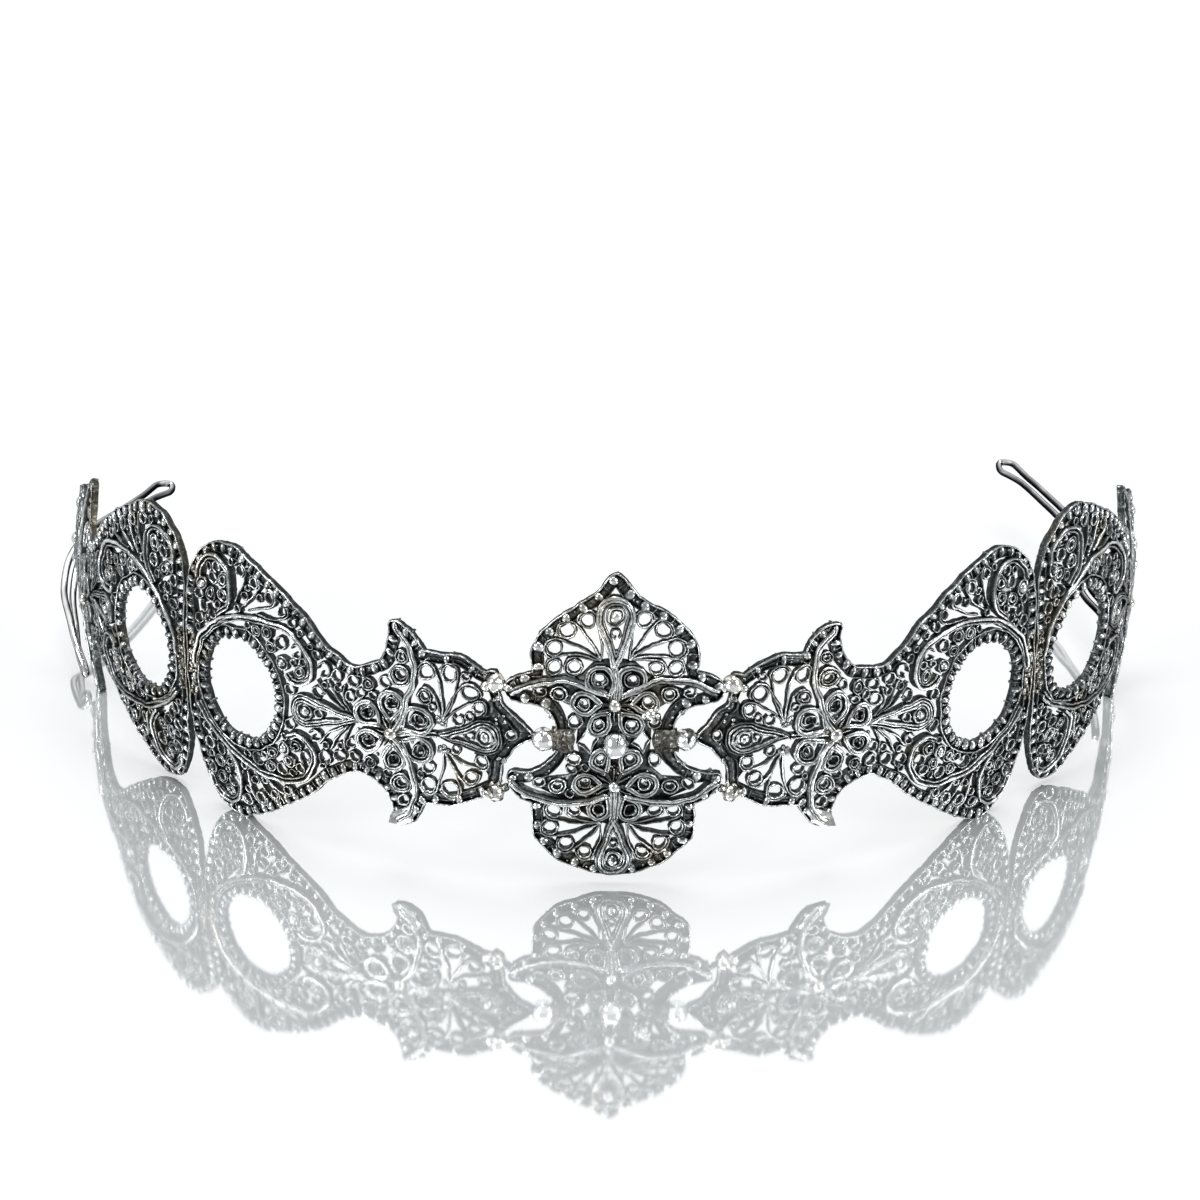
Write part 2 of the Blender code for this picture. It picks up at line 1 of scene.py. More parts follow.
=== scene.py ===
"""Looks of the filigree tiara: five soldered panels of drawn wire, and the two wire arms.

Each panel's wirework is laid out flat, in millimetres, with X along the band, Y up and Z out of the
panel, and is then bent onto the band's surface. One wing is laid out and used four times.
"""

import math
import random
from bisect import bisect_left

import bmesh
import bpy
import numpy as np
from mathutils import Matrix, Vector
from mathutils.noise import noise_vector, seed_set


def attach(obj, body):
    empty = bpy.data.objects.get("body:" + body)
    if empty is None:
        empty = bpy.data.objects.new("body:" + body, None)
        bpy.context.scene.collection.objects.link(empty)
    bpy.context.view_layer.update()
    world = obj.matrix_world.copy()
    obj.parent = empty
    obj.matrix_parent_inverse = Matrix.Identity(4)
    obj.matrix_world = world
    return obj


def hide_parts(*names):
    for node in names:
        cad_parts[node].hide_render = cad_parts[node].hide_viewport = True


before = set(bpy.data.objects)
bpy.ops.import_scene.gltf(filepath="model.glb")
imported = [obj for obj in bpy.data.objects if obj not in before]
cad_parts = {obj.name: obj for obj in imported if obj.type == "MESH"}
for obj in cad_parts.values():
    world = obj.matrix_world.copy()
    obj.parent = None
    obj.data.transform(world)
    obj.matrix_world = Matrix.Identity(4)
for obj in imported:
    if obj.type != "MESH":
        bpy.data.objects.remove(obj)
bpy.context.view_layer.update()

MM = 0.001

# The band, in millimetres. Seen from above it is half of an ellipse with its front at the middle.
# With each millimetre of height it is set back a little, and it leans in more and more.
BAND_HALF_WIDTH = 75.0
BAND_DEPTH = 70.1
SET_BACK = 0.092
LEAN_IN = 0.0114
CURL_RADIUS = 114.68
BAND_FRONT = Vector((1.69, -51.73, 0.08))
MID_HEIGHT = 18.6
JOINT_GAP = 0.3

# The panels: where the centre panel's balls end, a wing's tip and its seam, how far along the band a
# wing starts, and how deep a panel's back lies
CENTRE_BALL_EDGE = 9.2
WING_TIP = 9.4
WING_SEAM = 57.5
WING_START = CENTRE_BALL_EDGE + JOINT_GAP
PLATE_BACK = -0.5

# The bends of an outer wing: how far the fan end, its upper horn and the foot hang down, how far the
# foot is drawn along, how far the upper horn leans in, and, for the right (1) and the left (-1), how
# much higher and further out the lobes stand
FAN_DROOP = 3.4
HORN_DROOP = 0.8
FOOT_DROOP = 5.7
FOOT_SHIFT = 2.6
HORN_LEAN = 1.3
HORN_BELOW = 12.9
LOBE_RISE = {1: 1.2, -1: 0.55}
LOBE_TIP_RISE = 0.5
LOBE_BULGE = {1: 1.3, -1: 0.4}

# Where each bend starts and where it is full, across the wing or up it
FAN_ACROSS = (38.0, 24.0)
FAN_UP = (13.0, -1.0)
LOBE_ACROSS = (WING_SEAM, 46.5)
LOBE_UP = (4.0, 13.0)
FOOT_UP = (-8.0, -HORN_BELOW)
FOOT_FRONT = (30.4, 28.0)
FOOT_REAR = (20.0, 23.0)
LEAN_UP = (0.0, 12.0)

# The wire arms behind: the wire, how far apart its two strands lie, and the loop at the back
WIRE_RADIUS = 0.5
STRAND_SPACING = 1.4
LOOP_WIDTH = 2.6
LOOP_LENGTH = 4.0


# Places on the band

# The steps that half of the band is measured in, and the angle they reach
ARC_STEPS = 720
LAST_ANGLE = math.radians(175)
ARC_ANGLES = [LAST_ANGLE * i / ARC_STEPS for i in range(ARC_STEPS + 1)]


def plan(angle):
    """A point of the band's ellipse, seen from above."""
    return Vector((BAND_HALF_WIDTH * math.sin(angle), BAND_DEPTH * (1 - math.cos(angle))))


def arc_lengths():
    """How far along the band each of the angles lies."""
    lengths = [0.0]
    for a, b in zip(ARC_ANGLES, ARC_ANGLES[1:]):
        lengths.append(lengths[-1] + (plan(b) - plan(a)).length)
    return lengths


ARC_LENGTHS = arc_lengths()


def angle_at(distance):
    """The ellipse's angle at a distance along the band from its front."""
    i = min(max(bisect_left(ARC_LENGTHS, distance), 1), ARC_STEPS)
    share = (distance - ARC_LENGTHS[i - 1]) / (ARC_LENGTHS[i] - ARC_LENGTHS[i - 1])
    return ARC_ANGLES[i - 1] + share * (ARC_ANGLES[i] - ARC_ANGLES[i - 1])


def on_band(distance, height, lift):
    """The place, in metres, of a flat point: its distance from the front, its height over the
    middle line and how far it stands out of the panel's middle."""
    side = -1 if distance < 0 else 1
    angle = angle_at(abs(distance))
    spot = plan(angle)
    out = Vector((BAND_DEPTH * math.sin(angle) * side, -BAND_HALF_WIDTH * math.cos(angle), 0.0))
    out.normalize()
    lean = LEAN_IN * height + height * height / (2 * CURL_RADIUS)
    slope = LEAN_IN + height / CURL_RADIUS
    upward = Vector((0.0, SET_BACK, 1.0)) - out * slope
    normal = (out - upward * (out.dot(upward) / upward.length_squared)).normalized()
    middle = Vector((spot.x * side, spot.y + SET_BACK * height, MID_HEIGHT + height))
    return (BAND_FRONT + middle - out * lean + normal * lift) * MM


def ease(value):
    """A smooth step from 0 to 1."""
    share = min(1.0, max(0.0, value))
    return share * share * (3 - 2 * share)


def bend(place, start, full):
    """How much of a bend there is at a place, from 0 at its start to 1 where it is full."""
    return ease((place - start) / (full - start))


def wing_distance(x):
    """How far along the band a wing's point lies from the front."""
    return WING_START + x - WING_TIP


def inner_place(side):
    """Where the points of an inner wing stand."""
    def place(x, y, lift):
        return on_band(side * wing_distance(x), y, lift)
    return place


def outer_place(side):
    """Where the points of an outer wing stand: turned about the seam, its lobes a little raised and
    standing out, its fan end hanging lower, its upper horn leaning in, and its lower horn bent down
    to the floor as a foot."""
    seam = wing_distance(WING_SEAM)

    def place(x, y, lift):
        distance = 2 * seam + JOINT_GAP - wing_distance(x)
        fan = bend(x, *FAN_ACROSS)
        lobe = bend(x, *LOBE_ACROSS) * (1 - fan)
        foot = bend(y, *FOOT_UP) * bend(x, *FOOT_FRONT) * bend(x, *FOOT_REAR)
        droop = fan * (bend(y, *FAN_UP) * (FAN_DROOP - HORN_DROOP) + HORN_DROOP)
        droop -= lobe * (LOBE_RISE[side] + LOBE_TIP_RISE * bend(abs(y), *LOBE_UP))
        droop += foot * (FOOT_DROOP - droop)
        distance += foot * FOOT_SHIFT
        lean = fan * bend(y, *LEAN_UP) * HORN_LEAN
        return on_band(side * distance, y - droop, lift - lean + lobe * LOBE_BULGE[side])
    return place


# Flat paths of wire

# The fewest sides of a round path, and its sides for each millimetre of radius
LEAST_SIDES = 9
RING_SIDES = 11
DROP_SIDES = 9
# An array's value for a place that nothing lies near
FAR = 1e9


def vectors(points):
    """The points as vectors."""
    return [Vector(p) for p in points]


def towards(heading):
    """A heading's angle in degrees."""
    return math.degrees(math.atan2(heading.y, heading.x))


def round_step(angle, across=1.0, upright=1.0):
    """The step from an ellipse's middle to its edge at an angle."""
    return Vector((across * math.cos(angle), upright * math.sin(angle)))


def around(loop):
    """Each item of a closed loop with the one after it."""
    return zip(loop, loop[1:] + loop[:1])


def smooth(points, step=0.4, closed=False):
    """Points on a smooth curve through the given ones."""
    ends = vectors(points)
    if closed:
        padded = [ends[-1]] + ends + ends[:2]
    else:
        padded = [ends[0] * 2 - ends[1]] + ends + [ends[-1] * 2 - ends[-2]]
    result = []
    for a, b, c, d in zip(padded, padded[1:], padded[2:], padded[3:]):
        pieces = max(1, math.ceil((c - b).length / step))
        for i in range(pieces):
            t = i / pieces
            pull = (c - a) * t
            curl = (a * 2 - b * 5 + c * 4 - d) * t ** 2
            turn = (b * 3 - a - c * 3 + d) * t ** 3
            result.append(b + (pull + curl + turn) / 2)
    if not closed:
        result.append(ends[-1])
    return result


def runs(start, parts):
    """Smooth runs from a start, each beginning at the corner where the last one ends."""
    outline = []
    for part in parts:
        outline += smooth([start] + part, 0.5)[:-1]
        start = part[-1]
    return outline


def arc(centre, radius, start, end, count, stretch=1.0):
    """Points on an arc, with angles in degrees and the height stretched."""
    points = []
    for i in range(count):
        angle = math.radians(start + (end - start) * i / (count - 1))
        points.append(Vector((centre[0] + math.cos(angle) * radius,
                              centre[1] + math.sin(angle) * radius * stretch)))
    return points


def circle(centre, radius, stretch=1.0):
    """A closed ring of points."""
    count = max(LEAST_SIDES, round(radius * RING_SIDES))
    return arc(centre, radius, 0, 360, count + 1, stretch)[:-1]


def teardrop(tail, centre, radius):
    """An open path from the tail, straight to a circle about the centre, round it and back."""
    middle = Vector(centre)
    back = Vector(tail) - middle
    facing = towards(back)
    opening = math.degrees(math.acos(min(0.95, radius / back.length)))
    count = max(LEAST_SIDES, round(radius * DROP_SIDES))
    round_end = arc(middle, radius, facing + opening, facing + 360 - opening, count)
    start = smooth([Vector(tail), round_end[0]], 0.6)
    end = smooth([round_end[-1], Vector(tail)], 0.6)
    return start[:-1] + round_end + end[1:]


def beside(path, offset, closed=False):
    """A path at a distance to the left of another."""
    before = path[-1:] + path[:-1]
    after = path[1:] + path[:1]
    if not closed:
        before[0] = path[0]
        after[-1] = path[-1]
    moved = []
    for a, here, b in zip(before, path, after):
        along = (b - a).normalized()
        moved.append(here + Vector((-along.y, along.x)) * offset)
    return moved


def closeness(points, chain, closed):
    """How far each of an array of points lies from a chain of straight edges."""
    ends = np.array([tuple(p) for p in chain])
    nexts = np.roll(ends, -1, axis=0)
    if not closed:
        ends = ends[:-1]
        nexts = nexts[:-1]
    nearest = np.full(len(points), FAR)
    for a, b in zip(ends, nexts):
        along = b - a
        share = np.clip((points - a) @ along / max(along @ along, 1e-12), 0.0, 1.0)
        gap = points - a - share[:, None] * along
        nearest = np.minimum(nearest, np.hypot(gap[:, 0], gap[:, 1]))
    return nearest


def gaps_to(points, spot):
    """How far each of an array of points lies from a spot."""
    gap = points - np.array(tuple(spot))
    return np.hypot(gap[:, 0], gap[:, 1])


def within(points, loop):
    """Which of an array of points lie inside a closed loop."""
    odd = np.zeros(len(points), bool)
    for a, b in around(loop):
        if a.y == b.y:
            continue
        between = (a.y > points[:, 1]) != (b.y > points[:, 1])
        reach = a.x + (b.x - a.x) * (points[:, 1] - a.y) / (b.y - a.y)
        odd ^= between & (points[:, 0] < reach)
    return odd


def inset(loop, distance, spacing=0.45):
    """A loop inside an outline, at a distance from it, without the places too narrow for it."""
    moved = beside(loop, distance, True)
    gaps = closeness(np.array([tuple(p) for p in moved]), loop, True)
    kept = []
    for spot, gap in zip(moved, gaps):
        if gap > distance * 0.96:
            if not kept or (spot - kept[-1]).length > spacing:
                kept.append(spot)
    return kept


def spread(path, spacing, closed=True):
    """Places spaced evenly along a path, each with the path's direction there."""
    chain = path + path[:1] if closed else path
    lengths = [0.0]
    for a, b in zip(chain, chain[1:]):
        lengths.append(lengths[-1] + (b - a).length)
    count = max(1, round(lengths[-1] / spacing))
    places = []
    for i in range(count if closed else count + 1):
        wanted = lengths[-1] * i / count
        at = min(max(bisect_left(lengths, wanted), 1), len(chain) - 1)
        edge = chain[at] - chain[at - 1]
        share = (wanted - lengths[at - 1]) / max(edge.length, 1e-9)
        places.append((chain[at - 1] + edge * share, edge.normalized()))
    return places


# Wirework: strands, granules and plates of one panel, before it is bent. A height is counted from the
# middle of the panel's thickness

# Each kind of strand: its width, how high its top stands, how bright its top is rubbed, and whether
# it is a round wire, a flattened twist of two wires, a strip with a lip, or a strip on its edge
STRANDS = {
    "edge": (0.22, 0.52, 0.60, "lipped"),
    "inner edge": (0.22, 0.42, 0.25, "ridge"),
    "scroll": (0.42, 0.88, 0.95, "round"),
    "lining": (0.26, 0.66, 0.55, "round"),
    "petal": (0.56, 0.80, 1.0, "twin"),
    "coil": (0.32, 0.62, 0.85, "ridge"),
    "rib": (0.32, 0.52, 0.80, "ridge"),
    "loop": (0.33, 0.48, 0.82, "ridge"),
    "filler": (0.30, 0.42, 0.70, "ridge"),
}

# A granule rubbed this much is polished all over: no tarnish or pits are left on it
POLISHED = 1.5

# The bottom, the top and the brightness of a rim's sunk floor and of the ground under a rosette
RIM_FLOOR = (-0.28, 0.12, 0.10)
GROUND = (-0.45, 0.02, 0.08)

# A rim's domes: how their size, width, brightness and top vary, and how many have a bar after them.
# The specks between them: their spacing, how far they stray, and how many of the places have one
DOME_SIZE = (0.84, 1.08)
DOME_WIDTH = (0.9, 1.08)
DOME_BRIGHT = (0.55, 1.0)
DOME_TOP = (0.66, 0.8)
BAR_SHARE = 0.6
SPECK_SPACING = 0.8
SPECK_STRAY = 0.4
SPECK_SHARE = 0.7

# How bright a crumb or a speck is rubbed
CRUMB_BRIGHT = (0.3, 0.9)

# A petal's coil: the steps it is drawn in, its turn in degrees and the radius it ends at
COIL_STEPS = 30
COIL_TURN = 430
COIL_END = 0.62

# Filling with rings: the grid that is searched, the share of rings left open and an open one's turn
GRID_STEP = 0.13
OPEN_SHARE = 0.35
OPEN_TURN = 300


class Wirework:
    """The flat layout of a panel's wires, granules and plates."""

    def __init__(self, outline, seed):
        self.outline = outline
        self.strands = []
        self.granules = []
        self.plates = []
        self.open = []
        self.brown = []
        self.hand = random.Random(seed)

    def strand(self, kind, path, closed=False, lower=0.0):
        """Lay one strand."""
        self.strands.append((kind, path, closed, lower + self.hand.uniform(-0.03, 0.03)))

    def pair(self, kind, path, closed=False, gap=0.34):
        """Lay two strands side by side, as a flattened twist shows."""
        self.strand(kind, beside(path, gap / 2, closed), closed)
        self.strand(kind, beside(path, -gap / 2, closed), closed, 0.04)

    def ring(self, centre, radius, kind="loop"):
        """Lay a closed ring."""
        self.strand(kind, circle(centre, radius), True)

    def granule(self, centre, radius, top, stretch=(1.0, 1.0), heading=(1.0, 0.0), rubbed_and_sheen=1.0):
        """Set a round granule, stretched across and along a heading, with its top at a height."""
        self.granules.append((Vector(centre), radius, top, stretch, Vector(heading), rubbed_and_sheen))

    def clear(self, centre, radius):
        """Leave a round place free of rings."""
        self.open.append(circle(centre, radius))

    def stain(self, centre, reach):
        """Brown the metal about a place."""
        self.brown.append((Vector(centre), reach))

    def plate(self, loops, low, high, rubbed_and_sheen):
        """Fill the space between loops with a thin plate."""
        self.plates.append((loops, low, high, rubbed_and_sheen))

    def bead(self, centre, radius):
        """Set a granule in a collar of wire."""
        self.ring(centre, radius + 0.22, "lining")
        self.granule(centre, radius, 0.5 + radius)

    def drop(self, tail, centre, radius, bead_radius, collar, kind="scroll"):
        """A teardrop of doubled wire with a lining and a collared granule in its round end."""
        heading = (Vector(centre) - Vector(tail)).normalized()
        self.pair(kind, teardrop(tail, centre, radius))
        self.strand("lining", teardrop(Vector(tail) + heading * 1.5, centre, radius - 0.52))
        self.ring(centre, collar, "lining")
        self.granule(centre, bead_radius, 0.35 + bead_radius)

    def petal(self, hub, centre, radius):
        """A petal of doubled wire, drawn out towards the hub, with a coil in it."""
        heading = (Vector(centre) - Vector(hub)).normalized()
        tail = Vector(centre) - heading * radius * 1.35
        self.strand("scroll", [Vector(hub), tail + heading * 0.5], lower=0.12)
        self.strand("petal", teardrop(tail, centre, radius - 0.24))
        self.coil(centre, radius - 0.74, heading)

    def coil(self, centre, radius, heading):
        """A little over a turn of wire about a small hole, opening towards a heading."""
        start = towards(heading) + self.hand.uniform(-40, 40)
        path = []
        for i in range(COIL_STEPS + 1):
            share = i / COIL_STEPS
            angle = math.radians(start + COIL_TURN * share)
            reach = radius + (COIL_END - radius) * share
            path.append(Vector(centre) + round_step(angle) * reach)
        self.strand("coil", path, lower=0.02)

    def leaf(self, hub, centre, radius, hand=1):
        """A crook: a rib from a hub that hooks over a ring, with the space beside it left open."""
        middle = Vector(centre)
        from_hub = middle - Vector(hub)
        facing = towards(from_hub)
        hook = arc(centre, radius + 0.2, facing + hand * 105, facing - hand * 75, 14)
        bow = Vector((-from_hub.y, from_hub.x)) * 0.17 * hand
        rib = smooth([Vector(hub), Vector(hub) + from_hub * 0.5 + bow, hook[0], hook[1]], 0.5)
        self.strand("rib", rib[:-1] + hook[1:])
        self.ring(centre, radius - 0.08, "loop")
        self.open.append(teardrop(hub, centre, radius))

    def fan(self, hub, rings, hand, alike=9):
        """Crooks from a hub over a row of rings, with nothing else between them. The first few bend
        to the hand's side, and the rest to the other."""
        for i, (x, y, radius) in enumerate(rings):
            self.leaf(hub, (x, y), radius, hand if i < alike else -hand)
        self.open.append(vectors([hub] + [(x, y) for x, y, _ in rings]))

    def double_ring(self, centre, radius, gap):
        """A coil of two rings, one in the other."""
        self.ring(centre, radius, "coil")
        self.ring(centre, radius - gap, "coil")

    def channel(self, outer, inner, middle, spacing, across, along, bare=None):
        """A rim between two loops: a sunk floor, an edge on each side and domes in the middle,
        except where it is bare."""
        self.plate((outer, inner), *RIM_FLOOR)
        self.strand("edge", outer, True)
        self.strand("inner edge", inner, True)
        for i, (spot, heading) in enumerate(spread(middle, spacing)):
            if bare and bare(spot, i):
                continue
            size = self.hand.uniform(*DOME_SIZE)
            shape = (along * size, across * self.hand.uniform(*DOME_WIDTH))
            bright = self.hand.uniform(*DOME_BRIGHT)
            self.granule(spot, 0.5, self.hand.uniform(*DOME_TOP), shape, heading, bright)
            if self.hand.random() < BAR_SHARE:
                bar = Vector((-heading.y, heading.x)) * across * 0.43
                foot = spot + heading * spacing * 0.5
                self.strand("filler", smooth([foot - bar, foot + bar], 0.5), lower=0.05)
        for spot, _ in spread(middle, SPECK_SPACING):
            off = Vector([self.hand.uniform(-SPECK_STRAY, SPECK_STRAY) for _ in range(2)])
            radius = self.hand.uniform(0.12, 0.24)
            if self.hand.random() < SPECK_SHARE:
                self.granule(spot + off, radius, 0.16 + radius,
                             rubbed_and_sheen=self.hand.uniform(*CRUMB_BRIGHT))

    def crumbs(self, centre, across, upright, count, largest=0.45):
        """Crumbs of solder scattered about a place."""
        for _ in range(count):
            turn = self.hand.uniform(0, 2 * math.pi)
            away = math.sqrt(self.hand.random())
            spot = Vector(centre) + round_step(turn, across, upright) * away
            radius = self.hand.uniform(0.2, largest)
            if within(np.array([tuple(spot)]), self.outline)[0]:
                self.granule(spot, radius, 0.22 + radius, rubbed_and_sheen=self.hand.uniform(*CRUMB_BRIGHT))

    def fill(self, region, largest, smallest):
        """Fill what is still free in a region with rings that touch what is beside them."""
        low_x = min(p.x for p in region)
        high_x = max(p.x for p in region)
        low_y = min(p.y for p in region)
        high_y = max(p.y for p in region)
        grid = np.array([(x, y) for x in np.arange(low_x, high_x, GRID_STEP)
                         for y in np.arange(low_y, high_y, GRID_STEP)])
        grid = grid[within(grid, region)]
        free = np.full(len(grid), FAR)
        centre = Vector(((low_x + high_x) / 2, (low_y + high_y) / 2))
        reach = math.hypot(high_x - low_x, high_y - low_y) / 2 + 1.0
        for kind, path, closed, _ in self.strands:
            if min((p - centre).length for p in path) < reach:
                free = np.minimum(free, closeness(grid, path, closed) - STRANDS[kind][0] / 2)
        for spot, radius, *_ in self.granules:
            if (spot - centre).length < reach + radius:
                free = np.minimum(free, gaps_to(grid, spot) - radius)
        for path in self.open:
            free[within(grid, path)] = -1.0
        width = STRANDS["filler"][0]
        while len(free):
            best = int(free.argmax())
            if free[best] < smallest:
                break
            radius = min(free[best], largest * self.hand.uniform(0.82, 1.0))
            if free[best] > radius + 0.1:
                best = int(np.abs(free - radius).argmin())
            spot = Vector(grid[best])
            centre_line = radius - width / 2 + 0.05
            if self.hand.random() < OPEN_SHARE and radius > 0.5:
                start = self.hand.uniform(0, 360)
                path = arc(spot, centre_line, start, start + OPEN_TURN, 10)
                path.append(spot + (path[-1] - spot) * 0.45)
                self.strand("filler", path)
            else:
                self.ring(spot, centre_line, "filler")
            free = np.minimum(free, gaps_to(grid, spot) - radius)


# The centre panel

# The right edge from the top to the foot, as runs that meet at corners
CENTRE_TOP = (0.0, 21.0)
CENTRE_EDGE = [
    [(1.1, 20.2), (2.6, 18.5), (5.1, 17.0), (8.0, 14.9), (9.6, 12.7), (10.0, 10.6), (9.8, 9.2)],
    [(11.2, 8.7), (12.6, 8.0)],
    [(13.1, 6.9), (12.6, 5.4)],
    [(10.8, 5.1), (8.6, 4.6), (7.2, 3.2), (6.9, 2.0)],
    [(6.9, -0.3)],
    [(7.3, -1.2), (8.6, -2.4), (10.3, -3.3), (12.6, -3.4)],
    [(12.9, -4.4), (12.4, -5.7)],
    [(11.4, -6.8), (9.9, -7.6)],
    [(10.0, -9.7), (9.4, -12.4), (7.2, -14.9), (3.7, -16.8), (0.0, -17.4)],
]
CENTRE_BALL = (8.25, 0.9)


def mirrored(points, side):
    """Points, each with what else it has, mirrored left to right for the left side."""
    return [(side * x, *rest) for x, *rest in points]


def centre_outline():
    """The outline of the centre panel, anticlockwise."""
    right = runs(CENTRE_TOP, CENTRE_EDGE)
    left = [Vector((-p.x, p.y)) for p in right[1:]]
    return [right[0]] + left + [Vector(CENTRE_EDGE[-1][-1])] + right[:0:-1]


CENTRE_GROUND = [(0.0, 10.9), (2.4, 10.6), (3.9, 8.9), (6.0, 7.9), (8.8, 6.7), (7.4, 5.9), (5.0, 4.9),
                 (4.3, 3.0), (4.5, 0.9), (4.1, -1.0), (4.4, -2.6), (5.6, -3.9), (8.2, -4.2), (8.9, -5.6),
                 (6.0, -6.9), (4.0, -8.4), (2.4, -9.9), (0.0, -10.4)]
CENTRE_GROUND_HOLES = [((1.95, 8.5), 0.5), ((3.7, 5.7), 0.45), ((1.95, 2.95), 0.5), ((-1.75, 8.45), 0.5),
                       ((-3.65, 5.6), 0.5), ((-1.85, 2.9), 0.45), ((1.9, -1.4), 0.5),
                       ((-1.7, -1.4), 0.5), ((3.65, -4.7), 0.4), ((-3.5, -4.6), 0.5),
                       ((0.0, -2.6), 0.3), ((6.5, 6.5), 0.4), ((-6.5, 6.5), 0.4),
                       ((6.6, -5.05), 0.42), ((-6.6, -5.05), 0.42)]
# A star's inner corners, how much higher than wide it is, and its turn in degrees
STAR_WAIST = 0.58
STAR_UPRIGHT = 1.35
STAR_TURN = 8


def star(centre, radius):
    """An upright star of four points."""
    points = []
    for i in range(8):
        reach = radius if i % 2 == 0 else radius * STAR_WAIST
        step = round_step(math.radians(i * 45 + STAR_TURN), upright=STAR_UPRIGHT)
        points.append(Vector(centre) + step * reach)
    return points


def bare_arm(spot, _):
    """Whether the rim has no dome here: beside the ties and along the arms' hollows."""
    return abs(spot.x) < 9.4 and -3.1 < spot.y < 5.0


def petal_pairs(hub, petals):
    """The steps from a hub to each petal and to the next one round."""
    tips = [Vector((x, y)) - Vector(hub) for x, y, _ in petals]
    tips.sort(key=towards)
    return around(tips)


def ridges(work, hub, petals, reach):
    """A bright ridge from a hub to each of the places between its petals."""
    for tip, following in petal_pairs(hub, petals):
        way = (tip.normalized() + following.normalized()).normalized()
        bow = Vector((-way.y, way.x)) * work.hand.uniform(-0.25, 0.25)
        path = smooth([Vector(hub), Vector(hub) + way * reach * 0.5 + bow, Vector(hub) + way * reach])
        work.strand("coil", path, lower=0.05)


def rosette(work, hub, petals, ridge, upright, radius, top):
    """Six petals with ridges and crumbs of solder between them, and a granule."""
    for x, y, petal_radius in petals:
        work.petal(hub, (x, y), petal_radius)
    ridges(work, hub, petals, ridge)
    work.crumbs(hub, 4.6, upright, 60, 0.26)
    work.granule(hub, radius, top)


CENTRE_ROSETTES = [
    ((0.0, 5.4), [(1.95, 8.5, 1.75), (3.7, 5.7, 1.5), (1.95, 2.95, 1.5), (-1.75, 8.45, 1.75),
                  (-3.65, 5.6, 1.6), (-1.85, 2.9, 1.5)]),
    ((0.0, -4.9), [(1.9, -1.4, 1.35), (3.65, -4.7, 1.65), (1.85, -8.0, 1.5), (-1.7, -1.4, 1.35),
                   (-3.5, -4.6, 1.5), (-1.85, -8.0, 1.5)]),
]


def centre_wirework():
    """The middle panel: two fans, two rosettes, two teardrops and four arms."""
    work = Wirework(centre_outline(), 3)
    inner = inset(work.outline, 1.45)
    edge = inset(work.outline, 0.18, 0.3)
    work.channel(edge, inner, inset(work.outline, 0.8), 2.4, 1.5, 1.35, bare_arm)
    work.drop((0.0, 9.6), (0.0, 15.9), 2.05, 0.85, 1.15)
    work.ring((0.0, 11.5), 0.42)
    work.drop((0.0, -9.2), (0.0, -15.0), 1.95, 0.75, 1.1)
    for x in (-0.26, 0.26):
        work.strand("petal", smooth([(x, 10.2), (x, 6.1)]))
        work.strand("petal", smooth([(x, -5.5), (x, -9.4)]))
    for hub, petals in CENTRE_ROSETTES:
        rosette(work, hub, petals, 2.3, 3.6, 0.8, 1.25)
    ground = vectors(CENTRE_GROUND)
    ground += [Vector((-p.x, p.y)) for p in reversed(ground[1:-1])]
    stars = [star((x, 0.8), 1.25) for x in (-3.15, 3.2)]
    holes = [circle(*hole) for hole in CENTRE_GROUND_HOLES]
    work.plate([ground] + stars + holes, *GROUND)
    for loop in stars:
        work.strand("filler", loop, True)
    work.stain((0.6, 5.2), 1.8)
    work.stain((0.1, -3.0), 1.5)
    work.granule((0.1, 0.4), 1.6, 2.1, rubbed_and_sheen=POLISHED)
    work.ring((0.1, 0.4), 1.4, "lining")
    for side in (1, -1):
        centre_side(work, side)
    for x, y, radius in ((4.0, 4.4, 0.8), (4.9, 4.1, 0.5), (4.4, 3.6, 0.5), (3.3, 4.1, 0.45),
                         (4.6, 5.1, 0.4), (3.8, 3.7, 0.35)):
        work.granule((x, y), radius, 0.7 + radius * 0.6)
    work.fill(inner, 0.8, 0.55)
    return work


# One side of the panel: the fans' rings with their radii, the arms, and the block behind the ball
TOP_FAN = [(3.35, 15.4, 0.95), (5.6, 14.1, 0.98), (7.2, 12.0, 1.02), (7.1, 9.75, 0.95),
           (4.75, 9.75, 0.92)]
FOOT_FAN = [(4.75, -8.3, 0.85), (7.1, -8.35, 0.95), (7.5, -10.7, 0.98), (5.7, -12.9, 0.98),
            (3.45, -14.1, 0.85)]
UPPER_ARM = [(1.0, 6.7), (3.1, 7.6), (5.5, 8.3), (8.0, 8.2), (10.2, 7.5), (12.1, 6.4)]
LOWER_ARM = [(1.0, -6.2), (3.2, -6.8), (6.0, -7.15), (8.6, -6.8), (10.6, -5.9), (12.2, -4.8)]
TIE_BLOCK = [(4.9, -0.6), (7.3, -0.4), (7.5, 0.9), (7.3, 2.2), (4.9, 2.4), (4.6, 0.9)]


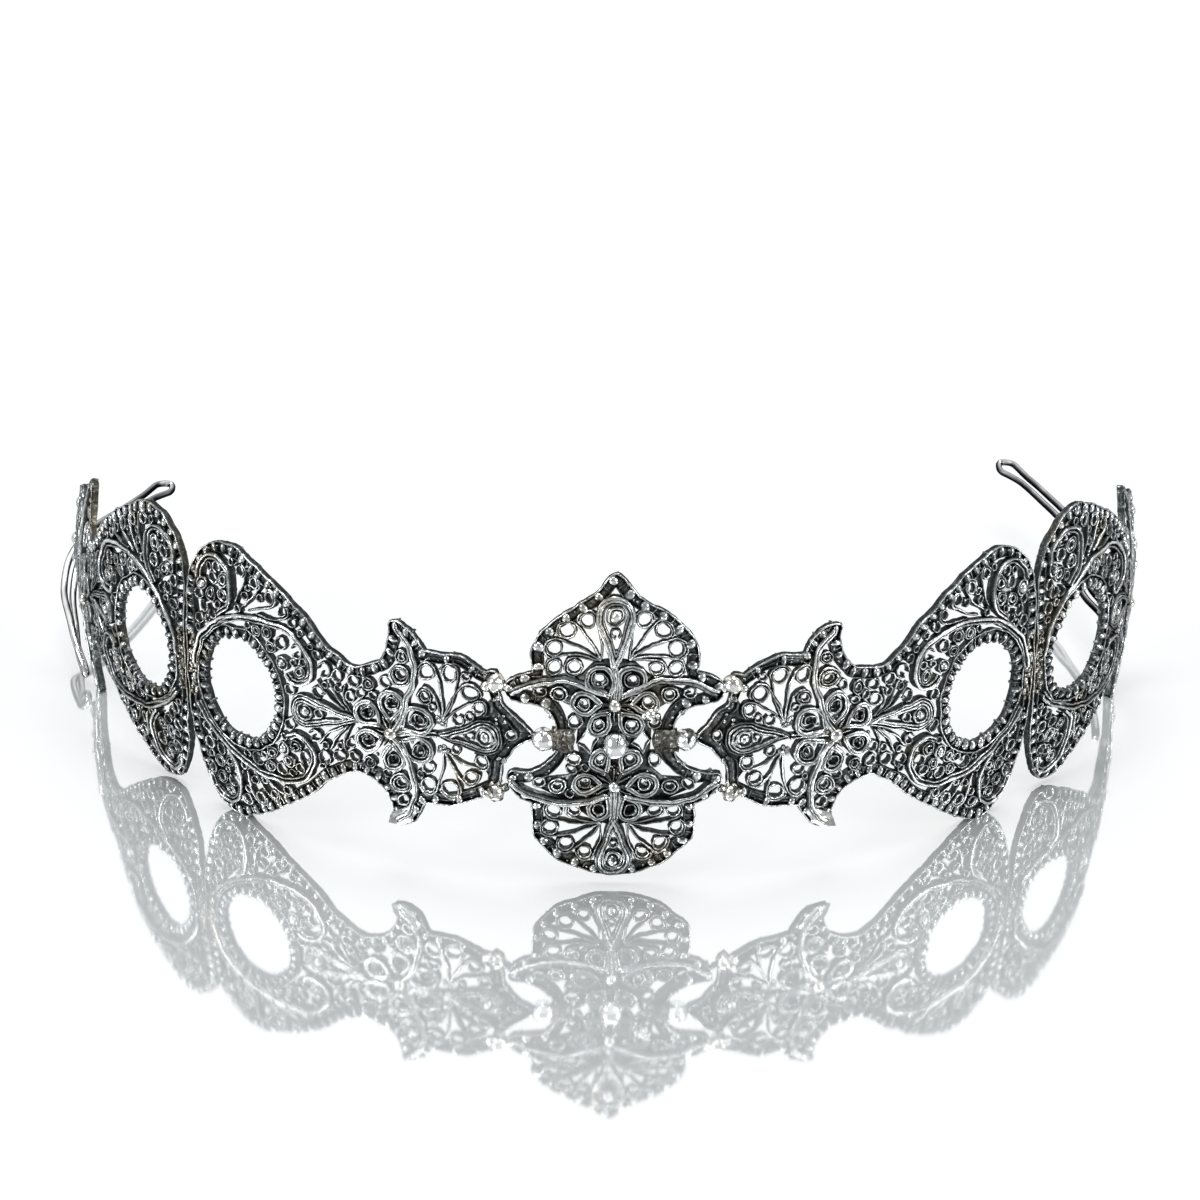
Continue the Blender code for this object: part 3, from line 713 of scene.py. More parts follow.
def centre_side(work, side):
    """The arms and the half fans of one side."""
    work.granule((side * CENTRE_BALL[0], CENTRE_BALL[1]), 1.4, 1.75, rubbed_and_sheen=POLISHED)
    for x, y, radius in mirrored([(7.15, 0.4, 0.5), (7.2, 1.4, 0.48), (7.3, 0.9, 0.5),
                                  (6.8, 2.1, 0.45)], side):
        work.granule((x, y), radius, 0.3 + radius, rubbed_and_sheen=0.6)
    for x, y, radius in mirrored([(3.2, 0.8, 1.3), (5.9, 4.5, 0.75), (5.9, -3.0, 0.8)], side):
        work.clear((x, y), radius)
    for arm in (UPPER_ARM, LOWER_ARM):
        work.pair("scroll", smooth(mirrored(arm, side)), gap=0.4)
    work.fan((side * 1.7, 10.9), mirrored(TOP_FAN, side), side)
    work.fan((side * 1.5, -9.9), mirrored(FOOT_FAN, side), -side)
    for x, y, radius in mirrored([(6.5, 6.55, 0.98), (6.6, -5.05, 1.02)], side):
        work.double_ring((x, y), radius, 0.38)
    for x, y, radius in mirrored([(8.7, 6.75, 0.72), (8.75, -4.75, 0.72), (4.6, 3.2, 0.78),
                                  (4.7, -1.5, 0.78)], side):
        work.ring((x, y), radius, "rib")
    for x, sway in ((4.9, 0.3), (5.6, -0.2), (6.2, 0.1), (6.7, -0.25), (7.3, 0.1)):
        tie = smooth([(side * x, -0.6), (side * (x + sway), 0.9), (side * (x - sway), 2.4)])
        work.strand("inner edge", tie, lower=-0.3)
    work.plate([vectors(mirrored(TIE_BLOCK, side))], -0.4, 0.72, 0.1)
    for y in (-0.2, 0.5, 1.2, 1.9):
        for x in (5.1, 5.7, 6.3, 6.9):
            spot = (side * (x + work.hand.uniform(-0.3, 0.3)), y + work.hand.uniform(-0.3, 0.3))
            radius = work.hand.uniform(0.25, 0.42)
            work.granule(spot, radius, 0.62 + radius * 0.6, rubbed_and_sheen=work.hand.uniform(0.1, 0.55))
    work.stain((side * 6.1, 0.9), 2.6)
    work.crumbs((side * 7.9, 3.6), 0.7, 1.0, 5, 0.34)
    work.crumbs((side * 8.1, -1.9), 0.8, 0.8, 5, 0.34)


# The wing, drawn for the right side with its tip towards the centre panel

# The outline from the tip over the top to the seam and back below, as runs that meet at corners
WING_NOSE = (WING_TIP, 1.3)
WING_EDGE = [
    [(10.6, 2.7), (11.7, 3.9), (12.9, 5.0)],
    [(13.4, 6.8), (13.4, 8.2), (14.2, 8.9), (15.1, 8.6)],
    [(17.0, 9.8), (19.2, 10.4), (22.4, 10.2)],
    [(23.3, 11.6), (24.4, 12.8), (25.8, 13.3), (27.6, 13.1)],
    [(27.2, 11.2), (28.0, 8.8), (29.9, 7.4), (32.2, 7.1), (34.9, 8.4), (38.4, 11.5), (42.6, 14.3),
     (48.2, 16.9), (51.4, 17.4), (54.3, 16.3), (56.6, 13.6), (57.5, 10.3), (WING_SEAM, 5.3)],
    [(WING_SEAM, -4.4)],
    [(57.1, -8.6), (56.2, -12.6), (54.6, -16.3), (51.8, -18.6), (48.4, -18.2), (42.4, -14.7),
     (38.2, -11.7), (34.9, -8.7), (32.2, -7.1), (29.9, -7.1), (27.9, -8.2), (27.0, -10.4),
     (27.6, -HORN_BELOW)],
    [(25.7, -12.8), (24.1, -12.1), (23.1, -10.6), (22.4, -9.3)],
    [(19.2, -9.1), (16.9, -8.2), (14.8, -7.2)],
    [(13.9, -7.9), (13.2, -7.2), (13.3, -5.4), (13.0, -3.0)],
    [(11.9, -1.3), (10.6, -0.1), (WING_TIP, 0.6)],
    [WING_NOSE],
]
EYE_CENTRE = (48.4, -0.3)
EYE_HALF_LENGTH = 5.7
EYE_STRETCH = 1.12

WING_HUB = (26.6, -0.5)
WING_PETALS = [(23.2, 1.6, 1.9), (26.6, 3.3, 1.7), (29.8, 1.4, 1.65), (23.1, -2.2, 1.8),
               (26.4, -4.0, 1.55), (29.7, -2.2, 1.6)]
UPPER_FAN_HUB = (20.3, 1.9)
UPPER_FAN = [(22.3, 7.6, 1.0), (19.5, 7.8, 1.02), (17.0, 5.8, 1.05), (15.8, 3.9, 0.78)]
LOWER_FAN_HUB = (20.2, -1.7)
LOWER_FAN = [(22.1, -6.7, 1.05), (19.4, -6.95, 1.1), (16.9, -5.0, 0.9), (15.7, -2.75, 0.88)]
UPPER_SCROLL = [(56.0, 0.8), (55.6, 2.9), (54.8, 4.8), (53.5, 6.3), (51.3, 8.0), (48.4, 9.2),
                (45.0, 9.7), (41.4, 9.5), (38.6, 8.1), (37.2, 5.9), (37.3, 4.0), (38.6, 2.8),
                (40.2, 2.9), (41.0, 3.8)]
LOWER_SCROLL = [(55.6, -4.4), (54.3, -6.2), (52.2, -7.9), (49.2, -9.7), (45.6, -10.8), (42.0, -10.9),
                (39.1, -9.9), (37.4, -7.9), (37.1, -5.8), (38.1, -4.1), (39.7, -3.6), (41.0, -4.3)]
UPPER_LOBE = [(51.6, 8.3), (50.0, 9.8), (49.4, 11.9), (49.9, 14.0), (51.6, 15.2), (53.6, 15.1),
              (55.1, 13.9), (55.4, 12.2)]
LOWER_LOBE = [(50.8, -9.2), (49.5, -10.8), (49.2, -13.1), (49.7, -15.4), (51.2, -16.8), (53.0, -16.8),
              (54.5, -15.4), (55.0, -13.7)]

# The places of the lumps of solder that join the inner wings to the centre panel's arms
JOINT_X = 13.9
JOINT_HEIGHTS = (7.3, -6.4)
WAIST = [(28.6, 2.2), (36.6, 2.2), (36.2, 6.2), (33.6, 7.4), (28.8, 7.2)]


def flipped(points, tip):
    """Points, each with what else it has, mirrored top to bottom for the lower half."""
    return [(x, tip * y, *rest) for x, y, *rest in points]


def wing_outline():
    """The outline of a wing, anticlockwise."""
    return runs(WING_NOSE, WING_EDGE)[::-1]


def bare_rim(spot, number):
    """Whether the rim has no dome here: along the nose, at the seam, and at every other place of
    the fan."""
    seam = spot.x > 56.2 and abs(spot.y) < 4.8
    return seam or spot.x < 15.2 or (spot.x < 22.6 and number % 2 == 0)


NOSE_GROUND = [(14.3, 5.6), (13.2, 4.2), (12.0, 2.9), (11.0, 1.9), (10.8, 0.6), (12.0, -0.7),
               (13.2, -2.2), (14.2, -3.6), (14.4, -5.3), (15.2, -4.0), (14.9, -2.6), (16.6, -1.9),
               (15.2, -1.7), (13.6, -1.0), (12.9, 0.4), (13.6, 1.8), (15.2, 2.5), (17.2, 2.4),
               (15.4, 3.0), (15.0, 4.5)]
# The radii of the holes in the ground under the wing's petals
ROSETTE_HOLES = (0.55, 0.5, 0.5, 0.5, 0.42, 0.5)


def rosette_ground():
    """A star under the rosette, reaching a little past the middles of its petals."""
    hub = Vector(WING_HUB)
    corners = []
    for tip, following in petal_pairs(WING_HUB, WING_PETALS):
        corners.append(hub + tip + tip.normalized() * 0.9)
        corners.append(hub + (tip + following).normalized() * 2.3)
    return corners


def wing_wirework():
    """A wing: a fan, a rosette, two horns, a waist, and two lobes round an oval eye-hole."""
    work = Wirework(wing_outline(), 11)
    inner = inset(work.outline, 1.4)
    work.channel(inset(work.outline, 0.14, 0.3), inner, inset(work.outline, 0.74), 1.6, 1.55, 1.0,
                 bare_rim)
    work.plate([vectors(NOSE_GROUND), circle((12.0, 1.15), 0.55)], *GROUND)
    holes = [circle((x, y), radius) for (x, y, _), radius in zip(WING_PETALS, ROSETTE_HOLES)]
    work.plate([rosette_ground()] + holes, *GROUND)
    eye_edge = circle(EYE_CENTRE, EYE_HALF_LENGTH + 0.25, EYE_STRETCH)
    eye_back = circle(EYE_CENTRE, EYE_HALF_LENGTH + 1.4, EYE_STRETCH)
    eye_middle = circle(EYE_CENTRE, EYE_HALF_LENGTH + 0.55, EYE_STRETCH)
    work.channel(eye_back, eye_edge, eye_middle, 1.45, 1.5, 0.95)
    work.crumbs((56.6, 0.3), 0.7, 4.9, 60, 0.4)
    for y in (-3.0, 0.0, 3.0):
        work.stain((57.0, y), 2.2)
    work.stain(WING_HUB, 1.6)
    work.open.append(eye_back)
    wing_fan_end(work)
    wing_lobe_end(work)
    for tip in (1, -1):
        work.fill(vectors(flipped(WAIST, tip)), 1.05, 0.72)
    for scroll in (UPPER_LOBE, LOWER_LOBE, UPPER_SCROLL, LOWER_SCROLL):
        work.fill(smooth(scroll), 1.0, 0.68)
    work.fill(inner, 0.88, 0.5)
    return work


def wing_fan_end(work):
    """The fan, its teardrop, the rosette and the horns."""
    work.drop((20.9, 0.1), (15.2, 0.4), 1.95, 0.65, 1.05, "rib")
    for y in (-0.5, 0.0):
        work.strand("coil", smooth([(25.8, y), (21.0, y + 0.35)]), lower=-0.1)
    rosette(work, WING_HUB, WING_PETALS, 2.1, 4.6, 0.85, 1.4)
    for hub, fan, tip in ((UPPER_FAN_HUB, UPPER_FAN, 1), (LOWER_FAN_HUB, LOWER_FAN, -1)):
        work.fan(hub, fan, tip, 2)
        work.crumbs((20.5, hub[1]), 0.9, 0.5, 9, 0.34)
        rim = [p for p in inset(work.outline, 0.72) if p.x < 22.3 and p.y * tip > 5.5]
        work.strand("inner edge", rim)
    work.open.append(vectors(NOSE_GROUND))
    work.ring((22.5, 4.7), 0.92)
    work.strand("rib", smooth([(20.5, 2.4), (21.0, 4.6), (21.7, 5.6), (22.6, 5.9)]))
    work.ring((22.1, -4.4), 0.72)
    for y in (6.8, -7.0):
        work.double_ring((25.6, y), 1.28, 0.34)
    for spot, radius in (((25.3, 9.2), 0.78), ((25.4, -9.3), 0.72), ((12.0, 1.1), 0.62)):
        work.ring(spot, radius)
    upper_spine = [(26.3, 0.0), (25.1, 1.9), (24.6, 4.0), (23.8, 6.4), (23.8, 8.6), (24.5, 10.7),
                   (26.3, 12.5)]
    lower_spine = [(26.3, -1.0), (24.9, -2.4), (24.3, -4.4), (23.8, -6.4), (23.8, -8.4), (24.6, -10.6),
                   (26.3, -12.2)]
    work.pair("scroll", smooth(upper_spine))
    work.pair("scroll", smooth(lower_spine), gap=0.4)
    horn_tip = [(23.9, -9.2), (24.6, -9.8), (25.6, -10.4), (26.7, -10.9), (27.2, -11.8), (27.5, -12.8),
                (25.8, -12.6), (24.6, -12.0), (23.6, -10.6)]
    work.plate([vectors(horn_tip)], 0.3, 0.72, 0.92)
    for y in JOINT_HEIGHTS:
        work.clear((JOINT_X, y), 1.2)
        work.granule((15.0, y - 0.4), 0.62, 0.9)
        work.granule((13.5, y - 0.7), 0.5, 0.7)
    work.crumbs((13.4, 2.9), 0.9, 0.7, 5, 0.4)
    work.crumbs((13.5, -2.2), 0.9, 0.7, 5, 0.4)


def joint_solder(outline):
    """The lumps of solder that join an inner wing to the centre panel's arms."""
    work = Wirework(outline, 7)
    work.granule((JOINT_X, JOINT_HEIGHTS[0]), 1.2, 1.3)
    work.granule((JOINT_X, JOINT_HEIGHTS[1]), 1.1, 1.25, rubbed_and_sheen=0.75)
    work.granule((12.8, 6.9), 0.62, 0.8)
    work.granule((12.7, -5.9), 0.55, 0.75)
    work.crumbs((13.6, 6.9), 1.1, 1.8, 20, 0.5)
    work.crumbs((13.4, -6.0), 1.1, 1.7, 20, 0.5)
    for y in JOINT_HEIGHTS:
        work.stain((JOINT_X, y), 2.2)
    return work


def fan_end_solder(outline):
    """The ball at an outer wing's free tip, where the wire arm leaves."""
    work = Wirework(outline, 1)
    work.granule((9.2, 0.6), 0.8, 1.3, rubbed_and_sheen=POLISHED)
    return work


# The upper half of a wing: the shoulder's rings, each with where its stem starts, and the waist's
# rings, gaps and ribs. The lower half's shoulder lies lower and a little further along
SHOULDER = [((48.4, 14.7), 0.7, (48.9, 10.6)), ((46.0, 13.7), 0.78, (48.0, 10.3)),
            ((43.7, 12.5), 0.74, (46.8, 10.2)), ((41.7, 11.3), 0.66, (45.3, 10.1))]
LOWER_SHOULDER_DROP = 0.9
WAIST_RINGS = [(29.6, 5.0, 0.8), (31.7, 4.9, 0.68), (33.8, 5.2, 0.74)]
WAIST_GAPS = [(31.2, 2.9, 0.8), (28.1, 5.6, 0.6)]
WAIST_RIBS = [[(31.8, 0.9), (32.9, 2.6), (32.7, 4.3)], [(32.2, 0.9), (34.0, 2.6), (35.0, 4.6)],
              [(33.0, 1.1), (35.2, 2.5), (36.5, 4.2)]]


def wing_lobe_end(work):
    """The waist, the teardrop beside the eye-hole, the scrolls and the lobes."""
    work.drop((31.0, 0.0), (38.3, -0.4), 1.85, 0.62, 1.0, "coil")
    for path, gap in ((UPPER_SCROLL, 0.5), (LOWER_SCROLL, -0.5), (UPPER_LOBE, -0.45),
                      (LOWER_LOBE, 0.45)):
        curve = smooth(path)
        work.strand("scroll", curve)
        work.strand("lining", beside(curve, gap))
    for spot in ((41.4, 5.0), (54.6, 11.5), (41.8, -6.2), (54.3, -12.9)):
        work.bead(spot, 0.58)
    for tip, drop in ((1, 0.0), (-1, LOWER_SHOULDER_DROP)):
        for ring, radius, stem in SHOULDER:
            spot = (ring[0] + drop * 0.3, tip * (ring[1] + drop))
            work.leaf((stem[0], tip * (stem[1] + drop)), spot, radius)
        for x, y, radius in flipped(WAIST_RINGS, tip):
            work.ring((x, y), radius)
        for x, y, radius in flipped(WAIST_GAPS, tip):
            work.clear((x, y), radius)
        for rib in WAIST_RIBS:
            work.strand("rib", smooth(flipped(rib, tip)))


# Solid metal from the flat layout

def section(width, top, shape):
    """Half of a strand's cross-section, from its back up to its middle, as across and height."""
    half = width / 2
    back = [(half * 0.5, PLATE_BACK), (half, PLATE_BACK + 0.12)]
    if shape == "twin":
        return back + [(half, top - 0.16), (half * 0.58, top), (0.0, top - 0.18)]
    if shape == "ridge":
        return back + [(half, top - 0.24), (half * 0.42, top - 0.07), (0.0, top)]
    if shape == "lipped":
        return back + [(half - 0.07, 0.0), (half, 0.1), (half, top - 0.12), (half * 0.5, top)]
    return back + [(half, top - half), (half * 0.7, top - half * 0.3), (0.0, top)]


def add_path(curve, points, closed):
    """Put a path of straight edges in a curve."""
    spline = curve.splines.new("POLY")
    spline.points.add(len(points) - 1)
    for point, place in zip(spline.points, points):
        point.co = (*place, 1.0)
    spline.use_cyclic_u = closed


def placed(name, data):
    """A new object with its data, in the scene."""
    thing = bpy.data.objects.new(name, data)
    bpy.context.scene.collection.objects.link(thing)
    return thing


def swept(curve):
    """The mesh of a curve with its cross-section."""
    holder = placed("curve", curve)
    graph = bpy.context.evaluated_depsgraph_get()
    mesh = bpy.data.meshes.new_from_object(holder.evaluated_get(graph))
    bpy.data.objects.remove(holder)
    return mesh


def flat_ribbons(kind, strands):
    """The ribbons of one kind of strand, standing on edge, as a mesh."""
    width, top, _, shape = STRANDS[kind]
    right = section(width, top, shape)
    left = [(-x, y) for x, y in right]
    corners = left + [p for p in reversed(right) if p[0] > 0.0]
    profile = bpy.data.curves.new("section", "CURVE")
    add_path(profile, [(x, y, 0.0) for x, y in corners], True)
    curve = bpy.data.curves.new("ribbon", "CURVE")
    curve.dimensions = "3D"
    curve.twist_mode = "Z_UP"
    curve.bevel_mode = "OBJECT"
    curve.bevel_object = placed("section", profile)
    curve.use_fill_caps = True
    for path, closed, lower in strands:
        add_path(curve, [(p.x, p.y, -lower) for p in path], closed)
    mesh = swept(curve)
    bpy.data.objects.remove(curve.bevel_object)
    return mesh


# How far from its very top or back a corner still counts as there, and how much a back is rubbed
TOP_SLACK = 0.04
BACK_SLACK = 0.08
BACK_RUBBED = 0.6


def rub(metal, first, top, bright, fade):
    """Rub the tops of the newest corners bright, their backs a little, and leave the rest black."""
    rubbed_and_sheen = metal.verts.layers.float["rubbed_and_sheen"]
    metal.verts.ensure_lookup_table()
    for corner in metal.verts[first:]:
        share = (corner.co.z + TOP_SLACK - (top - fade)) / fade
        if corner.co.z < PLATE_BACK + BACK_SLACK:
            share = BACK_RUBBED
        corner[rubbed_and_sheen] = bright * min(1.0, max(0.0, share))


def add_strands(metal, work):
    """Put a panel's strands in the metal."""
    for kind, (_, top, bright, _) in STRANDS.items():
        strands = [s[1:] for s in work.strands if s[0] == kind]
        if strands:
            first = len(metal.verts)
            metal.from_mesh(flat_ribbons(kind, strands))
            rub(metal, first, top, bright, 0.06)


# The radius over which a granule is a ball, which is rubbed nearly all over
BALL_RADIUS = 1.0


def granule_sides(radius):
    """How many sides a granule needs to look round."""
    for least, sides in ((BALL_RADIUS, 36), (0.6, 16), (0.3, 9)):
        if radius > least:
            return sides
    return 6


def add_granules(metal, work):
    """Put a panel's granules in the metal."""
    for spot, radius, top, stretch, heading, bright in work.granules:
        first = len(metal.verts)
        sides = granule_sides(radius)
        place = Matrix.Translation((spot.x, spot.y, top - radius))
        turn = Matrix.Rotation(math.atan2(heading.y, heading.x), 4, "Z")
        scale = Matrix.Diagonal((stretch[0], stretch[1], 1.0, 1.0))
        bmesh.ops.create_uvsphere(metal, u_segments=sides, v_segments=sides // 2 + 1,
                                  radius=radius, matrix=place @ turn @ scale)
        rub(metal, first, top, bright, radius * (3.0 if radius > BALL_RADIUS else 1.3))


def add_plates(metal, work):
    """Put a panel's thin plates in the metal."""
    for loops, low, high, bright in work.plates:
        first = len(metal.verts)
        edges = []
        for loop in loops:
            corners = [metal.verts.new((p.x, p.y, low)) for p in loop]
            edges += [metal.edges.new(ends) for ends in around(corners)]
        found = bmesh.ops.triangle_fill(metal, use_beauty=True, edges=edges)
        faces = [f for f in found["geom"] if isinstance(f, bmesh.types.BMFace)]
        raised = bmesh.ops.extrude_face_region(metal, geom=faces, use_keep_orig=True)
        tops = [v for v in raised["geom"] if isinstance(v, bmesh.types.BMVert)]
        bmesh.ops.translate(metal, verts=tops, vec=(0.0, 0.0, high - low))
        sheet = {f for v in metal.verts[first:] for f in v.link_faces}
        bmesh.ops.recalc_face_normals(metal, faces=list(sheet))
        rub(metal, first, high, bright, 0.1)


def finish_metal(metal, work):
    """Brown the metal about the places that were soldered, and shade it smooth."""
    layer = metal.verts.layers.float["browned"]
    for corner in metal.verts:
        for spot, reach in work.brown:
            away = (corner.co.xy - spot).length
            if away < reach:
                corner[layer] = max(corner[layer], ease((reach - away) / reach * 1.6))
    for face in metal.faces:
        face.smooth = True


def flat_metal(work):
    """All of a panel's metal, still flat."""
    metal = bmesh.new()
    metal.verts.layers.float.new("rubbed_and_sheen")
    metal.verts.layers.float.new("browned")
    add_granules(metal, work)
    add_plates(metal, work)
    add_strands(metal, work)
    bmesh.ops.remove_doubles(metal, verts=metal.verts[:], dist=0.0005)
    finish_metal(metal, work)
    return metal


def with_solder(metal, solder):
    """A copy of a panel's flat metal with lumps of solder on it."""
    fuller = metal.copy()
    add_granules(fuller, solder)
    finish_metal(fuller, solder)
    return fuller


# The unevenness of hand-laid wire: a slow sway and a quick one, each with its pace for each
# millimetre and its reach, and the shares of the panel's depth that drive it and that it moves
SWAYS = ((0.45, 0.3), (1.7, 0.11))
SWAY_BY_DEPTH = 0.3
SWAY_OF_DEPTH = 0.4
# Blender's noise starts from the clock unless it has a seed, and would differ from run to run
NOISE_SEED = 5


def uneven(spot, seed):
    """A flat point moved a little, as wire laid by hand lies."""
    start = Vector((spot.x, spot.y, spot.z * SWAY_BY_DEPTH))
    slow, quick = [noise_vector(start * pace + seed) * reach for pace, reach in SWAYS]
    shift = slow + quick
    return spot + Vector((shift.x, shift.y, shift.z * SWAY_OF_DEPTH))


def bent_panel(name, metal, place, turned, node, material):
    """A panel: the flat metal bent onto the band, in place of the CAD node."""
    panel = metal.copy()
    seed = Vector((len(name) * 7.3, ord(name[0]) * 1.7, ord(name[-1]) * 2.9))
    for corner in panel.verts:
        corner.co = place(*uneven(corner.co, seed))
    if turned:
        bmesh.ops.reverse_faces(panel, faces=panel.faces[:])
    data = bpy.data.meshes.new(name)
    panel.to_mesh(data)
    panel.free()
    data.materials.append(material)
    return piece(name, data, node)


def piece(name, data, node):
    """A finished piece that rides on the tiara's body in place of a CAD node."""
    thing = placed(name, data)
    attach(thing, "root")
    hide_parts(node)
    return thing


# The wire arms

LEFT_ARM = [(-13.6, 1.2, 2.2, 0), (-10.8, 1.7, 4.4, 10), (-6.0, 1.9, 5.9, 30), (1.2, 2.6, 7.2, 60),
            (7.0, 2.2, 9.5, 70), (14.3, 0.6, 10.5, 70), (24.0, -1.0, 9.7, 70), (37.0, -0.6, 8.2, 70)]
RIGHT_ARM = [(-12.2, -1.75, 8.6, 0), (-5.2, -2.9, 7.6, 20), (2.8, -4.7, 7.0, 45),
             (10.6, -4.7, 8.7, 60), (18.3, -3.8, 10.3, 70), (30.0, -3.2, 10.3, 70),
             (44.8, -1.0, 9.9, 70)]


def arm_route(side, route):
    """The arm's middle line and the direction from one strand to the other. A route gives the
    distance from the band's outer end, the offset outwards, the height and the strands' turn."""
    outer_end = 2 * wing_distance(WING_SEAM) + JOINT_GAP - WING_START
    places = []
    for along, outward, height, turn in smooth(route, 2.0):
        angle = angle_at(outer_end + along)
        spot = plan(angle)
        out = Vector((BAND_DEPTH * math.sin(angle), -BAND_HALF_WIDTH * math.cos(angle)))
        out.normalize()
        spot += out * outward
        lean = math.radians(turn)
        across = Vector((side * out.x * math.sin(lean), out.y * math.sin(lean), math.cos(lean)))
        places.append((Vector((side * spot.x, spot.y, height)), across))
    return places


def arm_loop(side, route):
    """One closed wire: out along a strand, round the loop at the back, and in along the other."""
    places = arm_route(side, route)
    end = places[-1][0]
    one_way = []
    other_way = []
    for place, across in places[:-1]:
        share = ease(1 - (end - place).length / (2 * LOOP_LENGTH))
        half = (STRAND_SPACING + (LOOP_WIDTH - STRAND_SPACING) * share) / 2
        one_way.append(place + across * half)
        other_way.append(place - across * half)
    start_turn = places[0][0] - (places[1][0] - places[0][0]).normalized() * STRAND_SPACING / 2
    end_across = places[-1][1] * LOOP_WIDTH * 0.32
    back = (places[-1][0] - places[-2][0]).normalized() * LOOP_WIDTH * 0.2
    round_end = [end - back + end_across, end + back * 0.9, end - back - end_across]
    return [start_turn] + one_way + round_end + other_way[::-1]


# The wires carry a painted sheen and painted shade: bright on the faces towards and away from this
# direction, which lies close to the camera's, less so on those that face up or down, and dark between
SHEEN_DIRECTION = Vector((0.0, -0.86, 0.5))
UPWARD_SHEEN = 0.6
SHEEN_FROM = 0.38
SHEEN_OVER = 0.3


def end_wire(name, side, route, node, material):
    """A closed hairpin of round wire, with a painted sheen and shade set by how each corner faces."""
    curve = bpy.data.curves.new(name, "CURVE")
    curve.dimensions = "3D"
    curve.bevel_depth = WIRE_RADIUS * MM
    curve.bevel_resolution = 4
    add_path(curve, [(BAND_FRONT + p) * MM for p in smooth(arm_loop(side, route), 0.5, True)], True)
    data = swept(curve)
    data.materials.append(material)
    rubbed_and_sheen = data.attributes.new("rubbed_and_sheen", "FLOAT", "POINT")
    # Painted sheen and shade: a corner is bright as it faces towards or away from the sheen's direction,
    # less bright facing up or down, and dark otherwise
    for corner, value in zip(data.vertices, rubbed_and_sheen.data):
        facing = max(abs(corner.normal.dot(SHEEN_DIRECTION)), abs(corner.normal.z) * UPWARD_SHEEN)
        value.value = ease((facing - SHEEN_FROM) / SHEEN_OVER)
    return piece(name, data, node)


# Materials

def shaded(name, roughness):
    """A new metal and its shader."""
    material = bpy.data.materials.new(name)
    material.use_nodes = True
    shader = material.node_tree.nodes["Principled BSDF"]
    join(material.node_tree, shader, {"Metallic": 1.0, "Roughness": roughness,
                                      "Specular Tint": (0.35, 0.35, 0.36, 1.0)})
    return material, shader


def join(tree, node, values):
    """Set a node's inputs, each to a value or to another node's output."""
    for name, value in values.items():
        if isinstance(value, bpy.types.NodeSocket):
            tree.links.new(value, node.inputs[name])
        else:
            node.inputs[name].default_value = value


def from_node(tree, kind, output, values):
    """The output of a new node with its inputs set."""
    node = tree.nodes.new("ShaderNode" + kind)
    join(tree, node, values)
    return node.outputs[output]


def noise(tree, scale, detail):
    """A noise pattern fixed to the object."""
    place = from_node(tree, "TexCoord", "Object", {})
    return from_node(tree, "TexNoise", "Fac", {"Scale": scale, "Detail": detail, "Vector": place})


def attribute(tree, name):
    """The value that the mesh has in a layer."""
    node = tree.nodes.new("ShaderNodeAttribute")
    node.attribute_name = name
    return node.outputs["Fac"]


def combined(tree, operation, first, second):
    """Two values put together."""
    node = tree.nodes.new("ShaderNodeMath")
    node.operation = operation
    join(tree, node, {0: first, 1: second})
    return node.outputs["Value"]


def patchy(tree, value, pattern, middle, strength):
    """A value with a pattern's patches added, above and below the pattern's middle."""
    patches = combined(tree, "SUBTRACT", pattern, middle)
    return combined(tree, "ADD", value, combined(tree, "MULTIPLY", patches, strength))


def ramp(tree, value, stops):
    """A colour for each value."""
    node = tree.nodes.new("ShaderNodeValToRGB")
    elements = node.color_ramp.elements
    elements[0].position = stops[0][0]
    elements[1].position = stops[-1][0]
    for position, _ in stops[1:-1]:
        elements.new(position)
    for element, (_, colour) in zip(elements, stops):
        element.color = (*colour, 1.0)
    join(tree, node, {"Fac": value})
    return node.outputs["Color"]


def between(tree, value, low, high):
    """How far a value lies between two others, from 0 to 1."""
    return from_node(tree, "MapRange", "Result", {"Value": value, "From Min": low, "From Max": high})


def bump(tree, shader, height, strength, distance):
    """Small unevenness of the surface."""
    normal = from_node(tree, "Bump", "Normal",
                       {"Strength": strength, "Distance": distance, "Height": height})
    join(tree, shader, {"Normal": normal})


# How much the two silvers are rubbed, with the colour there: cool, and browned by solder or age
COOL_SILVER = [(0.0, (0.054, 0.060, 0.061)), (0.3, (0.155, 0.165, 0.167)),
               (0.65, (0.56, 0.58, 0.575)), (1.0, (0.95, 0.97, 0.96))]
BROWNED_SILVER = [(0.0, (0.064, 0.058, 0.046)), (0.3, (0.18, 0.165, 0.135)),
                  (0.65, (0.57, 0.55, 0.49)), (1.0, (0.96, 0.95, 0.90))]
# The wire's colour for each value of its painted sheen and shade, from dark to bright
WIRE_SILVER = [(0.1, (0.02, 0.02, 0.022)), (0.5, (0.22, 0.23, 0.24)), (0.9, (0.9, 0.9, 0.89))]


